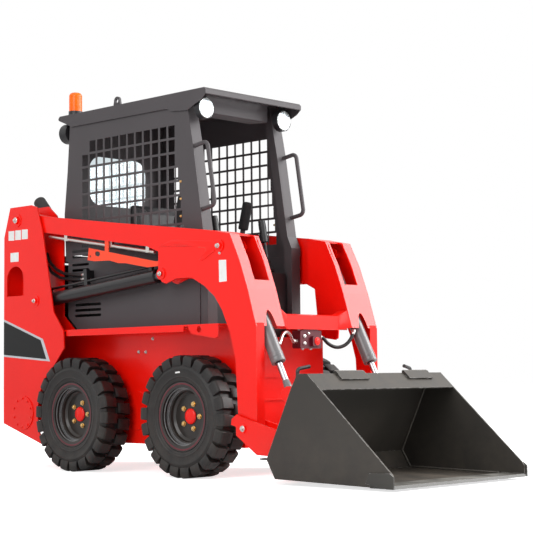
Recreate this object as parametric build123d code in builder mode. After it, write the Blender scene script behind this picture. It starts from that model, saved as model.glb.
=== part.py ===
# Compact skid steer loader: chassis, loader arms, bucket, cab and wheels.
# Millimetres.  X points forward, Y to the left, Z up; the origin is on the ground
# under the middle of the machine's length.  Profiles are drawn in "machine" x, which is
# measured forward from the point midway between the two axles.

import os
from math import atan2, cos, degrees, hypot, radians, sin, sqrt, tan

from build123d import *

# ------------------------------------------------------------------ driving dimensions
plate = 8                     # welded structural plate
sheet = 4                     # cab and cover sheet
gap = 0.3                     # seat clearance between pieces that are bolted together
pin_fit = 0.05                # radial clearance of a pin in its bore

wheelbase = 880
tyre_radius = 306             # over the lugs' tips
carcass_radius = 284
tyre_width = 178
tyre_face = 490               # outer face of the tyres, from the centre plane
lug_count = 22                # lugs on each side of the tread
lug_half = 31                 # half a lug's length round the tread
rim_seat_radius = 154
rim_lip_radius = rim_seat_radius + 19
spindle_radius = 30
hub_cap_radius = 42

case_half = 270               # outer face of the chain cases
case_width = 130
case_top = 560
belly = 150                   # ground clearance
frame_front = 698
column_half = 292             # front columns of the frame
column_rear = 480
door_axis = (-1062, case_half - 24)         # rear door hinge
door_pin = 4
knuckles = (660, 1080)
knuckle_tall = 30
deck = 764                    # top of the shelves over the wheels
shelf_half = 449
shelf_front = 485
shelf_lip = 34

tower_outer = 464             # outer face of the towers
tower_inner = 347             # outer face of the towers' inner plates
tower_rear = -1072
tower_top = 1475

arm_outer = 449               # outer face of the loader arms
arm_beam = 84                 # width of the upper box beam
arm_inner = 262               # inner face of the elbow boxes
ear_outer = 374               # outer face of the coupler's inner cheeks
flange_inner = 394            # inner edge of the legs' front flanges
face_inner = 250              # inner edge of the elbows' front faces

cab_half = 347                # outer face of the cab sides
roof_half = 357
roof_top = 1976
post_width = 70

bucket_half = 508             # over the side cutters
bucket_tip = 1814
bucket_sheet = 6
bucket_side = 8

arm_pivot = (-949, 1398)
arm_pin_radius = 22
lift_base = (-774, 933)       # lift cylinder, fixed end
lift_rod_pin = (261, 1030)    # lift cylinder, rod end on the arm
tilt_top = (690, 1145)        # tilt cylinder, fixed end in the elbow
tilt_pin = (1060, 417)        # tilt cylinder, rod end on the coupler
coupler_pivot = (864, 254)
lift_y = 407                  # centre planes of the cylinders
tilt_y = 342
cylinder_pin_radius = 15
tilt_pin_radius = 12

rear_axle = (-wheelbase / 2, tyre_radius)
front_axle = (wheelbase / 2, tyre_radius)
mid_x = -(tower_rear + bucket_tip) / 2      # where the axles' midpoint stands in the part's frame
hands = (("right", -1), ("left", 1))

os.makedirs("parts", exist_ok=True)


# ------------------------------------------------------------------ planes and small helpers
def side(y):
    """Plane seen from the right: sketch x forward, sketch y up, normal towards -Y."""
    return Plane(origin=(mid_x, y, 0), x_dir=(1, 0, 0), z_dir=(0, -1, 0))


def facing(x):
    """Plane seen from the front: sketch x to the left, sketch y up, normal towards +X."""
    return Plane(origin=(mid_x + x, 0, 0), x_dir=(0, 1, 0), z_dir=(1, 0, 0))


def level(z):
    """Level plane: sketch x forward, sketch y to the left, normal up."""
    return Plane(origin=(mid_x, 0, z), x_dir=(1, 0, 0), z_dir=(0, 0, 1))


def along(start, end, y):
    """Plane across the line from start to end in the plane y, its normal along the line."""
    run = Vector(end[0] - start[0], 0, end[1] - start[1])
    return Plane(origin=(mid_x + start[0], y, start[1]), x_dir=(0, 1, 0), z_dir=run)


def shifted(points, dx, dz):
    return [(x + dx, z + dz) for x, z in points]


def save(part, name):
    part.label = name
    export_step(part, f"parts/{name}.step")


# ------------------------------------------------------------------ wheels
tyre_mid = tyre_face - tyre_width / 2
rim_half = 72                 # half the distance over the rim's lips
disc_at = 2                   # disc's inner face, out from the tyre's middle
disc_sheet = 10
hub_flange = 14
spindle_end = case_half - case_width + 20

tyre_half = tyre_width / 2
lug_crown = sqrt(tyre_radius**2 - lug_half**2)
lug_pitch = 360 / lug_count
lug_corner = degrees(atan2(lug_half, lug_crown))
tyre_side_radius = carcass_radius - 44


def fan(half_angle):
    reach = tyre_radius + 20
    rise = reach * tan(radians(half_angle))
    return [(0, 0), (reach, -rise), (reach, rise)]


with BuildPart() as lug_form:
    with BuildSketch(Plane.XZ):
        Polygon((tyre_side_radius, tyre_half), (lug_crown - 12, tyre_half), (lug_crown, tyre_half - 9),
                (lug_crown, 4), (carcass_radius - 12, 4), (carcass_radius - 12, tyre_half - 30),
                (tyre_side_radius - 12, tyre_half - 8), align=None)
    extrude(amount=lug_half + 2, both=True)
    with BuildSketch():
        Polygon(*fan(lug_corner), align=None)
    extrude(amount=tyre_half, mode=Mode.INTERSECT)

# the carcass has one flat slice for each pitch of the lugs, which keeps its mesh light
with BuildPart() as slice_form:
    with BuildSketch(Plane.XZ):
        Polygon((rim_seat_radius + gap, -rim_half + 8.6), (rim_seat_radius + gap, rim_half - 8.6),
                (tyre_side_radius, tyre_half), (carcass_radius, tyre_half - 27),
                (carcass_radius, -tyre_half + 27), (tyre_side_radius, -tyre_half), align=None)
    extrude(amount=60, both=True)
    with BuildSketch():
        Polygon(*fan(lug_pitch / 2), align=None)
    extrude(amount=tyre_half, both=True, mode=Mode.INTERSECT)

with BuildPart() as tyre_form:
    # two staggered rows of lugs; one lug's corner stands on the ground
    with PolarLocations(0, lug_count, start_angle=90 + lug_corner):
        add(slice_form.part)
        add(lug_form.part)
    with PolarLocations(0, lug_count, start_angle=90 + lug_corner + lug_pitch / 2):
        add(mirror(lug_form.part, about=Plane.XY, mode=Mode.PRIVATE))

with BuildPart() as wheel_form:
    with BuildSketch(Plane.XZ):
        with BuildLine():
            Polyline(
                (rim_seat_radius, -rim_half + 8),
                (rim_lip_radius - 14, -rim_half + 2),
                (rim_lip_radius, -rim_half),
                (rim_lip_radius, -rim_half - 5),
                (rim_seat_radius - 8, -rim_half - 3),
                (rim_seat_radius - 10, disc_at - 20),
                (rim_seat_radius - 40, disc_at),
                (spindle_radius, disc_at - hub_flange),
                (spindle_radius, disc_at),
                (hub_cap_radius, disc_at),
                (hub_cap_radius, disc_at + disc_sheet + 1),
                (rim_seat_radius - 42, disc_at + disc_sheet),
                (rim_seat_radius - 30, disc_at + disc_sheet + 8),
                (rim_seat_radius - 26, disc_at + disc_sheet + 22),
                (rim_seat_radius - 10, disc_at + disc_sheet + 26),
                (rim_seat_radius - 8, rim_half + 3),
                (rim_lip_radius, rim_half + 5),
                (rim_lip_radius, rim_half),
                (rim_lip_radius - 14, rim_half - 2),
                (rim_seat_radius, rim_half - 8),
                close=True,
            )
        make_face()
    revolve(axis=Axis.Z)
    with BuildSketch(Plane.XY.offset(disc_at + disc_sheet + 3)):
        Circle(hub_cap_radius)
    extrude(amount=-disc_sheet - 3 - hub_flange)
    with BuildSketch(Plane.XY.offset(disc_at)):
        Circle(spindle_radius)
    extrude(amount=-(tyre_mid + disc_at - spindle_end))

for axle_name, axle in (("front", front_axle), ("rear", rear_axle)):
    for hand, sign in hands:
        place = Location(Plane(origin=(mid_x + axle[0], sign * tyre_mid, axle[1]), x_dir=(1, 0, 0),
                               z_dir=(0, sign, 0)))
        save(tyre_form.part.moved(place), f"tyre_{axle_name}_{hand}")
        save(wheel_form.part.moved(place), f"wheel_{axle_name}_{hand}")

# ------------------------------------------------------------------ lower frame
frame_rear = -700
tray = 270                    # engine tray behind the chain cases
ballast_low = 262             # counterweight across the rear
ballast_high = 555
ballast_depth = 84
ballast_front = tower_rear + plate + ballast_depth + 9
housing_radius = 52
housing_reach = 26
foot_top = 700                # top of the front wall
ledges = (500, 385)           # ledges across the front wall
ledge_reach = 12
port_at = (-136, 326)         # raised cover between the wheels
port_size = (208, 140)
port_rise = 6

with BuildPart() as lower_frame:
    case_mid = case_half - case_width / 2
    with BuildSketch(level(belly)):
        with Locations(((frame_front + frame_rear) / 2, case_mid),
                       ((frame_front + frame_rear) / 2, -case_mid)):
            Rectangle(frame_front - frame_rear, case_width)
    extrude(amount=case_top - belly)
    with BuildSketch(level(belly)):
        with Locations(((frame_front + frame_rear) / 2, 0)):
            Rectangle(frame_front - frame_rear, 2 * case_half)
    extrude(amount=plate)
    with BuildSketch(level(belly)):
        for sign in (-1, 1):
            with Locations(((frame_front + column_rear) / 2, sign * (column_half - plate))):
                Rectangle(frame_front - column_rear, 2 * plate)
    extrude(amount=deck - plate - belly)
    with BuildSketch(level(case_top)):
        for sign in (-1, 1):
            with Locations(((column_rear + tower_rear + 2 * plate) / 2, sign * (case_half - plate / 2))):
                Rectangle(column_rear - tower_rear - 2 * plate, plate)
    extrude(amount=deck - plate - case_top)
    with BuildSketch(facing(frame_front)):
        with Locations((0, (belly + foot_top) / 2)):
            Rectangle(2 * column_half, foot_top - belly)
    extrude(amount=-plate)
    with BuildSketch(facing(frame_front)):
        for ledge_z in ledges:
            with Locations((0, ledge_z)):
                Rectangle(2 * column_half, plate)
    extrude(amount=ledge_reach)
    for sign in (-1, 1):
        with BuildSketch(side(sign * (case_half + port_rise))):
            with Locations(port_at):
                SlotOverall(*port_size, rotation=90)
        extrude(amount=sign * port_rise)
    with BuildSketch(level(tray)):
        with Locations(((frame_rear + ballast_front) / 2, 0)):
            Rectangle(frame_rear - ballast_front + 2 * plate, 2 * case_half)
    extrude(amount=plate)
    with BuildSketch(level(tray)):
        for sign in (-1, 1):
            with Locations(((frame_rear + ballast_front) / 2, sign * (case_half - plate / 2))):
                Rectangle(frame_rear - ballast_front + 2 * plate, plate)
    extrude(amount=case_top + 1 - tray)
    for axle in (front_axle, rear_axle):
        for sign in (-1, 1):
            with BuildSketch(side(sign * (case_half + housing_reach))):
                with Locations(axle):
                    Circle(housing_radius)
            extrude(amount=sign * (housing_reach + plate))
            with BuildSketch(side(sign * (case_half + housing_reach))):
                with Locations(axle):
                    Circle(spindle_radius + pin_fit)
            extrude(amount=sign * (case_half + housing_reach - spindle_end + 20), mode=Mode.SUBTRACT)
save(lower_frame.part, "lower_frame")

# rear counterweight between the towers
with BuildPart() as counterweight:
    with BuildSketch(side(tower_outer - plate)):
        with Locations((tower_rear + plate + ballast_depth / 2, (ballast_low + ballast_high) / 2)):
            Rectangle(ballast_depth, ballast_high - ballast_low)
    extrude(amount=2 * (tower_outer - plate))
save(counterweight.part, "counterweight")

# ------------------------------------------------------------------ towers
arch_radius = tyre_radius + 9
tower_outline = [(-1015, tower_top), (-816, tower_top), (-765, 1459), (-716, 1321), (-643, 999),
                 (-614, 867),
                 (-527, 760), (-520, 665), (-637, 540), (-722, 140), (tower_rear, 248), (tower_rear, 1308)]
inner_outline = [(-1015, tower_top), (-811, tower_top), (-738, 1419), (-672, 1290), (-672, 850),
                 (-560, deck - plate), (tower_rear, deck - plate), (tower_rear, 1308)]
window_mid = (-965.5, 1059)
window_radius = 78.5
window_sill = 968
cover_at = (-887, 309)
cover_radius = 95

for hand, sign in hands:
    with BuildPart() as tower:
        with BuildSketch(side(sign * tower_outer)):
            Polygon(*tower_outline, align=None)
            with Locations(rear_axle):
                Circle(arch_radius, mode=Mode.SUBTRACT)
            with Locations(window_mid):
                Circle(window_radius, mode=Mode.SUBTRACT)
            with Locations((window_mid[0], (window_mid[1] + window_sill) / 2)):
                Rectangle(2 * window_radius, window_mid[1] - window_sill, mode=Mode.SUBTRACT)
        extrude(amount=sign * plate)
        with BuildSketch(side(sign * tower_inner)):
            Polygon(*inner_outline, align=None)
        extrude(amount=sign * plate)
        with BuildSketch(level(ballast_high + gap)):
            with Locations((tower_rear + 1.5 * plate, sign * (tower_outer + case_half - plate) / 2)):
                Rectangle(plate, tower_outer - case_half + plate)
        extrude(amount=1308 - ballast_high)
        with BuildSketch(level(deck - plate)):
            with Locations(((tower_rear + plate - 560) / 2, sign * (tower_outer + case_half - plate) / 2)):
                Rectangle(-560 - tower_rear - plate, tower_outer - case_half + plate)
        extrude(amount=plate)
        with BuildSketch(side(sign * (tower_outer + 6))):
            with Locations(cover_at):
                Circle(cover_radius)
        extrude(amount=sign * 6)
        for pin, radius in ((arm_pivot, arm_pin_radius), (lift_base, cylinder_pin_radius)):
            with BuildSketch(side(sign * (tower_outer + 5))):
                with Locations(pin):
                    Circle(radius + 16)
            extrude(amount=sign * 5)
            with BuildSketch(side(sign * (tower_outer + 14))):
                with Locations(pin):
                    Circle(radius)
            extrude(amount=sign * (tower_outer + 14 - tower_inner + plate))
        if hand == "left":
            for knuckle_z in knuckles:
                with BuildSketch(level(knuckle_z - knuckle_tall / 2)):
                    with Locations(door_axis):
                        Circle(2 * door_pin)
                    with Locations((tower_rear + 1.5 * plate, (case_half + door_axis[1]) / 2)):
                        Rectangle(plate, case_half - door_axis[1])
                extrude(amount=knuckle_tall)
                with BuildSketch(level(knuckle_z - knuckle_tall / 2)):
                    with Locations(door_axis):
                        Circle(door_pin + pin_fit)
                extrude(amount=knuckle_tall, mode=Mode.SUBTRACT)
    save(tower.part, f"tower_{hand}")

# ------------------------------------------------------------------ shelves over the wheels
shelf_rear = -560
tab_hole_radius = 16
tab_hole = (shelf_front + 54, deck - plate - tab_hole_radius - 2)
tab_outline = [(shelf_front - 26, deck - plate), (shelf_front - 20, deck - 26),
               (shelf_front + 2, deck - 48),
               (shelf_front + 170, deck - 72), (shelf_front + 187, deck - 64),
               (shelf_front + 193, deck - plate)]
with BuildPart() as fenders:
    with BuildSketch(level(deck - plate)):
        Polygon((shelf_rear, -case_half + plate), (shelf_front + 193, -case_half + plate),
                (shelf_front + 193, -shelf_half), (shelf_rear, -shelf_half), align=None)
    extrude(amount=plate)
    with BuildSketch(side(-shelf_half)):
        Polygon((shelf_rear + 40, deck - plate), (shelf_rear + 40, deck - shelf_lip),
                (shelf_front - 60, deck - shelf_lip), (shelf_front - 60, deck - plate), align=None)
        Polygon(*tab_outline, align=None)
        with Locations(tab_hole):
            Circle(tab_hole_radius, mode=Mode.SUBTRACT)
    extrude(amount=-plate)
    mirror(about=Plane.XZ)
save(fenders.part, "fenders")

# ------------------------------------------------------------------ loader arms
beam_top = [(-722, 1405), (-159, 1328), (551, 1237), (762, 1200)]
beam_low = [(238, 1146), (149, 1178), (-399, 1264), (-730, 1316)]
front_edge = [(827, 1071), (882, 926), (938, 746), (938, 250)]
ear = [(237, 1030), (262, 990), (295, 978)]
arch = [(373, 1001), (487, 999), (579, 953), (651, 899), (705, 828), (757, 720), (795, 590), (812, 300)]
leg_foot_radius = 50
elbow_rear = 626              # the elbow box starts here, clear of the cab as the arm lifts
face_top = (775, 1174)
slot_low = 972
slot_half = 52
leg_front = 938

for hand, sign in hands:
    with BuildPart() as arm:
        # outer plate, tail to foot
        with BuildSketch(side(sign * arm_outer)) as arm_plate:
            Polygon(*beam_top, *front_edge, (leg_front, coupler_pivot[1]), (coupler_pivot[0] + 30, 210),
                    (coupler_pivot[0] - 30, 210), *reversed(arch), *reversed(ear), *beam_low, align=None)
            with BuildLine():
                Polyline(arm_pivot, (-722, 1405), (-730, 1316), close=True)
            make_face()
            with Locations(arm_pivot):
                Circle(58)
            Polygon((-949, 1456), (-722, 1405), (-730, 1316), (-949, 1340), align=None)
        extrude(amount=sign * plate)
        # box beam behind it
        with BuildSketch(side(sign * (arm_outer - plate))):
            Polygon((-949, 1456), *beam_top[:3], (elbow_rear, 1227), (elbow_rear, 985), (579, 965),
                    (487, 1010),
                    (400, 1012), (330, 1090), (300, 1120), *beam_low, (-949, 1340), align=None)
            with Locations(arm_pivot):
                Circle(58)
        extrude(amount=sign * (arm_beam - plate))
        # inner ear for the lift cylinder
        with BuildSketch(side(sign * (arm_outer - arm_beam + plate))):
            Polygon((149, 1178), (238, 1146), (237, 1030), (262, 990), (295, 978), (373, 1001), (487, 999),
                    (487, 1100), align=None)
        extrude(amount=sign * plate)
        # elbow: inner plate, rear wall, top and sloping front face
        with BuildSketch(side(sign * (arm_inner + plate))):
            Polygon((elbow_rear, 1227), (762, 1200), (780, 1172), (827, 1071), (882, 926), (938, 746),
                    (760, 746),
                    (690, 800), (672, 960), (elbow_rear, 985), align=None)
        extrude(amount=sign * plate)
        with BuildSketch(side(sign * (arm_outer - plate))):
            Polygon((elbow_rear, 1227), (elbow_rear + plate, 1226), (elbow_rear + plate, 985),
                    (elbow_rear, 985), align=None)
            Polygon((elbow_rear, 1227), (762, 1200), (762, 1192), (elbow_rear, 1219), align=None)
        extrude(amount=sign * (arm_outer - arm_inner - plate))
        with BuildSketch(side(sign * (arm_outer - plate))):
            Polygon((762, 1200), (827, 1071), (882, 926), (938, 746), (929, 746), (874, 923), (819, 1068),
                    (754, 1196), align=None)
        extrude(amount=sign * (arm_outer - plate - face_inner))
        with BuildSketch(side(sign * (tilt_y + slot_half - 10))):
            Polygon((735, 1230), (960, 1230), (960, slot_low), (735, slot_low), align=None)
        extrude(amount=sign * 2 * slot_half, mode=Mode.SUBTRACT)
        # notch in the front face for the tilt cylinder
        with BuildSketch(along(tilt_top, tilt_pin, sign * tilt_y).offset(300)):
            Circle(54)
        extrude(amount=250, mode=Mode.SUBTRACT)
        # lower leg: front flange and foot boss
        with BuildSketch(side(sign * (arm_outer - plate))):
            Polygon((leg_front, 760), (leg_front, coupler_pivot[1] + 10),
                    (leg_front - plate, coupler_pivot[1] + 10), (leg_front - plate, 760), align=None)
        extrude(amount=sign * (arm_outer - plate - flange_inner))
        with BuildSketch(side(sign * (arm_outer - plate))):
            with Locations(coupler_pivot):
                Circle(38)
        extrude(amount=sign * (arm_outer - plate - ear_outer - 6))
        # bores
        with BuildSketch(side(sign * (arm_outer + 1))):
            with Locations(arm_pivot):
                Circle(arm_pin_radius + pin_fit)
        extrude(amount=sign * 200, mode=Mode.SUBTRACT)
        with BuildSketch(side(sign * (arm_outer + 1))):
            with Locations(coupler_pivot):
                Circle(20 + pin_fit)
        extrude(amount=sign * (arm_outer - ear_outer), mode=Mode.SUBTRACT)
        # elbow pin with its boss, and the lift cylinder's pin boss
        with BuildSketch(side(sign * (arm_outer + 14))):
            with Locations(tilt_top):
                Circle(tilt_pin_radius + 4)
        extrude(amount=sign * (arm_outer + 14 - arm_inner))
        for collar in (tilt_y + 46, tilt_y - 38):
            with BuildSketch(side(sign * collar)):
                with Locations(tilt_top):
                    Circle(34)
            extrude(amount=sign * plate)
        for boss in (tilt_top, lift_rod_pin):
            with BuildSketch(side(sign * (arm_outer + 6))):
                with Locations(boss):
                    Circle(30)
            extrude(amount=sign * 6)
    save(arm.part, f"arm_{hand}")

cross_half = 190
cross_front = 895
cross_low = 735
with BuildPart() as cross_member:
    with BuildSketch(side(arm_inner - gap)):
        Polygon((846, 812), (cross_front, 805), (cross_front, cross_low), (882, cross_low), (846, 780),
                align=None)
    extrude(amount=2 * (arm_inner - gap))
    with BuildSketch(side(cross_half)):
        Polygon((780, 812), (846, 812), (846, 800), (780, 800), align=None)
    extrude(amount=2 * cross_half)
    with BuildSketch(side(cross_half)):
        Polygon((845, cross_low - 1), (845, 800), (882, 795), (882, cross_low - 1), align=None)
    extrude(amount=2 * cross_half, mode=Mode.SUBTRACT)
    # gussets to the elbows' front faces
    for sign in (-1, 1):
        with BuildSketch(side(sign * cross_half)):
            Polygon((850, cross_low), (cross_front, cross_low), (cross_front, 805), (850, 811), align=None)
        with BuildSketch(side(sign * (face_inner - gap))):
            Polygon((850, 748), (leg_front, 748), (906, 836), (850, 836), align=None)
        loft(ruled=True)
save(cross_member.part, "cross_member")

# valve block hung behind the cross member's lip
valve_half = 78
with BuildPart() as valve_block:
    with BuildSketch(level(640)):
        with Locations((882 - gap - 28, 0)):
            Rectangle(56, 2 * valve_half)
    extrude(amount=90)
    with BuildSketch(level(640)):
        with Locations((882 - gap - 7, 0)):
            Rectangle(14, 100)
    extrude(amount=140)
    with BuildSketch(facing(882 - gap)):
        with Locations((28, 676)):
            Rectangle(62, 50)
    extrude(amount=16)
    chamfer(valve_block.edges().filter_by(Axis.X), 5)
save(valve_block.part, "valve_block")

# hoses from the valve block to the tilt cylinders: x, y, z
tilt_hose_radius = 9
tilt_hose_lines = (
    [(928, -298, 656), (926, -272, 664), (910, -240, 706), (886, -184, 722), (864, -134, 708),
     (856, -108, 676),
     (856, -valve_half - gap, 676)],
    [(856, valve_half + gap, 700), (856, 112, 700), (864, 152, 660), (882, 200, 642), (904, 246, 660),
     (914, 276, 698),
     (914, 294, 738)],
)
with BuildPart() as tilt_hoses:
    for hose_points in tilt_hose_lines:
        with BuildLine():
            hose_path = FilletPolyline(*[(mid_x + x, y, z) for x, y, z in hose_points], radius=24)
        with BuildSketch(Plane(origin=hose_path @ 0, z_dir=hose_path % 0)):
            Circle(tilt_hose_radius)
        sweep(path=hose_path)
save(tilt_hoses.part, "tilt_hoses")

# ------------------------------------------------------------------ lift and tilt cylinders
def cylinder_run(start, end):
    return hypot(end[0] - start[0], end[1] - start[1])


lift_run = cylinder_run(lift_base, lift_rod_pin)
tilt_run = cylinder_run(tilt_top, tilt_pin)
feed_at = 58                  # distance of the lift cylinders' feed pipes over their axis
feed_radius = 7
clamp_at = 372                # clamp on the lift cylinders, from the fixed end
cylinders = (
    # name, fixed end, rod end, centre plane, barrel radius, rod radius, eye radius, eye width, pin radius,
    # gland distance, inner end of the rod past the eye
    ("lift", lift_base, lift_rod_pin, lift_y, 37, 20, 30, 52, cylinder_pin_radius, lift_run - 75, 30),
    ("tilt", tilt_top, tilt_pin, tilt_y, 35, 15, 27, 32, tilt_pin_radius + 4, 646, 130),
)
for (name, fixed, free, y, barrel_radius, rod_radius, eye_radius, eye_width, pin_radius, gland_at,
     rod_start) in cylinders:
    run = cylinder_run(fixed, free)
    axis = along(fixed, free, -y)
    with BuildPart() as barrel:
        with BuildSketch(side(-y + eye_width / 2)):
            with Locations(fixed):
                Circle(eye_radius)
        extrude(amount=eye_width)
        with BuildSketch(axis.offset(eye_radius - 6)):
            Circle(barrel_radius)
        extrude(amount=gland_at - eye_radius + 6)
        if name == "lift":
            # feed pipe along the top, its two end blocks and the clamp; sketch y is up from the axis
            with BuildSketch(axis.offset(60)):
                with Locations((0, feed_at)):
                    Circle(feed_radius)
            extrude(amount=gland_at - 100)
            for start, length in ((54, 22), (gland_at - 56, 22)):
                with BuildSketch(axis.offset(start)):
                    with Locations((0, (barrel_radius + feed_at) / 2)):
                        Rectangle(18, feed_at - barrel_radius + 18)
                extrude(amount=length)
            with BuildSketch(axis.offset(clamp_at)):
                with Locations((5, 76)):
                    Rectangle(24, 96)
            extrude(amount=26)
            with BuildSketch(axis.offset(clamp_at + 4)):
                with Locations((28, 98)):
                    Rectangle(56, 44)
            extrude(amount=8)
        with BuildSketch(axis.offset(eye_radius + 10)):
            Circle(rod_radius + pin_fit)
        extrude(amount=gland_at, mode=Mode.SUBTRACT)
        with BuildSketch(side(-y + eye_width)):
            with Locations(fixed):
                Circle(pin_radius + pin_fit)
        extrude(amount=2 * eye_width, mode=Mode.SUBTRACT)
        mirror(about=Plane.XZ)
    save(barrel.part, f"{name}_barrels")
    with BuildPart() as rod:
        with BuildSketch(axis.offset(eye_radius + rod_start)):
            Circle(rod_radius)
        extrude(amount=run - eye_radius - rod_start)
        with BuildSketch(side(-y + eye_width / 2)):
            with Locations(free):
                Circle(eye_radius)
        extrude(amount=eye_width)
        mirror(about=Plane.XZ)
    save(rod.part, f"{name}_rods")

# hoses from the towers to the lift cylinders' clamps: x, z of each route in its own plane
lift_hose_radius = 9
lift_hose_y = cab_half + 4 + lift_hose_radius + 2
lift_hose_lines = (
    [(-838, 1204), (-816, 1150), (-764, 1098), (-690, 1064), (-598, 1048), (-500, 1041.3), (-407.7, 1050)],
    [(-808, 1208), (-776, 1154), (-718, 1110), (-648, 1084), (-576, 1074), (-490, 1066.5), (-410, 1074)],
)
with BuildPart() as lift_hoses:
    for hose_points in lift_hose_lines:
        with BuildLine(side(-lift_hose_y)):
            hose_path = FilletPolyline(*hose_points, radius=60)
        with BuildSketch(Plane(origin=hose_path @ 0, z_dir=hose_path % 0)):
            Circle(lift_hose_radius)
        sweep(path=hose_path)
    mirror(about=Plane.XZ)
save(lift_hoses.part, "lift_hoses")

# ------------------------------------------------------------------ coupler (quick-attach frame)
back_low = (1047, 116)
back_high = (1208, 446)
back_angle = degrees(atan2(back_high[1] - back_low[1], back_high[0] - back_low[0]))
lean = (back_high[0] - back_low[0]) / (back_high[1] - back_low[1])


def back_x(z, behind):
    """x of the plane of the bucket's back at height z, a distance behind it."""
    return back_low[0] + (z - back_low[1]) * lean - behind / sin(radians(back_angle))


cheek_outer = 469
cheek = 12
with BuildPart() as coupler:
    with BuildSketch(side(cheek_outer)):
        Polygon((back_x(128, 0.5), 128), (back_x(470, 0.5), 470), (back_x(470, 10), 470),
                (back_x(128, 10), 128), align=None)
    extrude(amount=2 * cheek_outer)
    for sign in (-1, 1):
        with BuildSketch(side(sign * cheek_outer)):
            Polygon((back_x(128, 1), 128), (953, 132), (815, 222), (815, 262), (781, 272), (786, 300),
                    (820, 322),
                    (846, 312), (875, 303), (back_x(246, 1), 246), align=None)
        extrude(amount=sign * cheek)
        with BuildSketch(side(sign * ear_outer)):
            Polygon((back_x(128, 1), 128), (953, 132), (826, 222), (826, 290), (890, 300),
                    (back_x(246, 1), 246), align=None)
        extrude(amount=sign * cheek)
        with BuildSketch(side(sign * (cheek_outer + 6))):
            with Locations(coupler_pivot):
                Circle(20)
        extrude(amount=sign * (cheek_outer + 10 - ear_outer))
        for ear_y in (ear_outer, ear_outer - 52):
            with BuildSketch(side(sign * ear_y)):
                Polygon((back_x(300, 1), 300), (1035, 400), (1030, 430), (1060, 455),
                        (back_x(455, 1), 455), align=None)
                with Locations(tilt_pin):
                    Circle(34)
            extrude(amount=sign * cheek)
save(coupler.part, "coupler")

# ------------------------------------------------------------------ bucket
mouth_top = (1308, 514)
mouth_low = (1794, 81)
side_outer = bucket_half - bucket_side
outer_line = [(bucket_tip - 140, 15), (1100, 27), back_low, back_high, (1250, 514), mouth_top, (1390, 441)]
with BuildPart() as bucket:
    with BuildSketch(side(side_outer)) as shell:
        with BuildLine():
            outer = Polyline(*outer_line)
            offset(outer, amount=bucket_sheet, side=Side.LEFT)
        make_face()
    extrude(amount=2 * side_outer)
    for sign in (-1, 1):
        with BuildSketch(side(sign * side_outer)):
            Polygon((1250, 514), mouth_top, mouth_low, (1806, 66), (1806, 28), (bucket_tip - 140, 28),
                    *outer_line[:4], align=None)
        extrude(amount=sign * bucket_side)
    with BuildSketch(side(cheek_outer)):
        Polygon((974, 110), (back_x(110, 0), 110), (back_x(118, 0), 118), (974, 118), align=None)
    extrude(amount=2 * cheek_outer)
    # hook plates over the top lip
    for y_start, y_end in ((-304, -102), (199, 385)):
        with BuildSketch(side(y_end)):
            Polygon((1300, 512), (1300, 525), (1314, 525), (1352, 488), (1340, 482), (1308, 512),
                    align=None)
        extrude(amount=y_end - y_start)
save(bucket.part, "bucket")

# latch levers of the coupler
latch_x = back_x(440, 10 + gap) - 16
with BuildPart() as latch_levers:
    for sign in (-1, 1):
        with BuildSketch(side(sign * 442)):
            Polygon((back_x(380, 10 + gap), 380), (back_x(440, 10 + gap), 440), (latch_x - 14, 440),
                    (latch_x - 30, 380), align=None)
        extrude(amount=sign * 44)
        with BuildLine():
            lever_path = FilletPolyline((mid_x + latch_x, sign * 420, 430),
                                        (mid_x + latch_x, sign * 420, 536),
                                        (mid_x + latch_x + 14, sign * 352, 548), radius=18)
        with BuildSketch(Plane(origin=lever_path @ 0, z_dir=lever_path % 0)):
            Circle(9)
        sweep(path=lever_path)
save(latch_levers.part, "latch_levers")

with BuildPart() as cutting_edge:
    with BuildSketch(side(side_outer)):
        Polygon((bucket_tip - 140 + gap, 12), (bucket_tip, 12), (bucket_tip - 6, 26),
                (bucket_tip - 140 + gap, 26), align=None)
    extrude(amount=2 * side_outer)
    for sign in (-1, 1):
        with BuildSketch(side(sign * bucket_half)):
            Polygon((bucket_tip - 158, 31), (bucket_tip - 136, 77), (bucket_tip - 20, 81),
                    (bucket_tip, 66), (bucket_tip, 12), (bucket_tip - 40, 12), align=None)
        extrude(amount=sign * (bucket_side - gap))
save(cutting_edge.part, "cutting_edge")


# ------------------------------------------------------------------ covers around the engine
door_half = door_axis[1] + 9
door_low = 562
door_high = 1170
hood_top = 1184
bay_half = tower_inner - plate - gap
with BuildPart() as engine_block:
    with BuildSketch(level(tray + plate + gap)):
        with Locations(((frame_rear - 12 - 262 / 2), 0)):
            Rectangle(262, 470)
        with Locations(((frame_rear - 12 - 340) / 2, 0)):
            Rectangle(360 + 12, 250)
    extrude(amount=800)
save(engine_block.part, "engine_block")

with BuildPart() as engine_hood:
    with BuildSketch(level(hood_top - sheet)):
        with Locations(((-1054 - 630) / 2, 0)):
            Rectangle(424, 2 * bay_half)
    extrude(amount=sheet)
    with BuildSketch(facing(-630)):
        with Locations((0, hood_top - 30)):
            Rectangle(2 * bay_half, 60)
    extrude(amount=-sheet)
save(engine_hood.part, "engine_hood")

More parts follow.
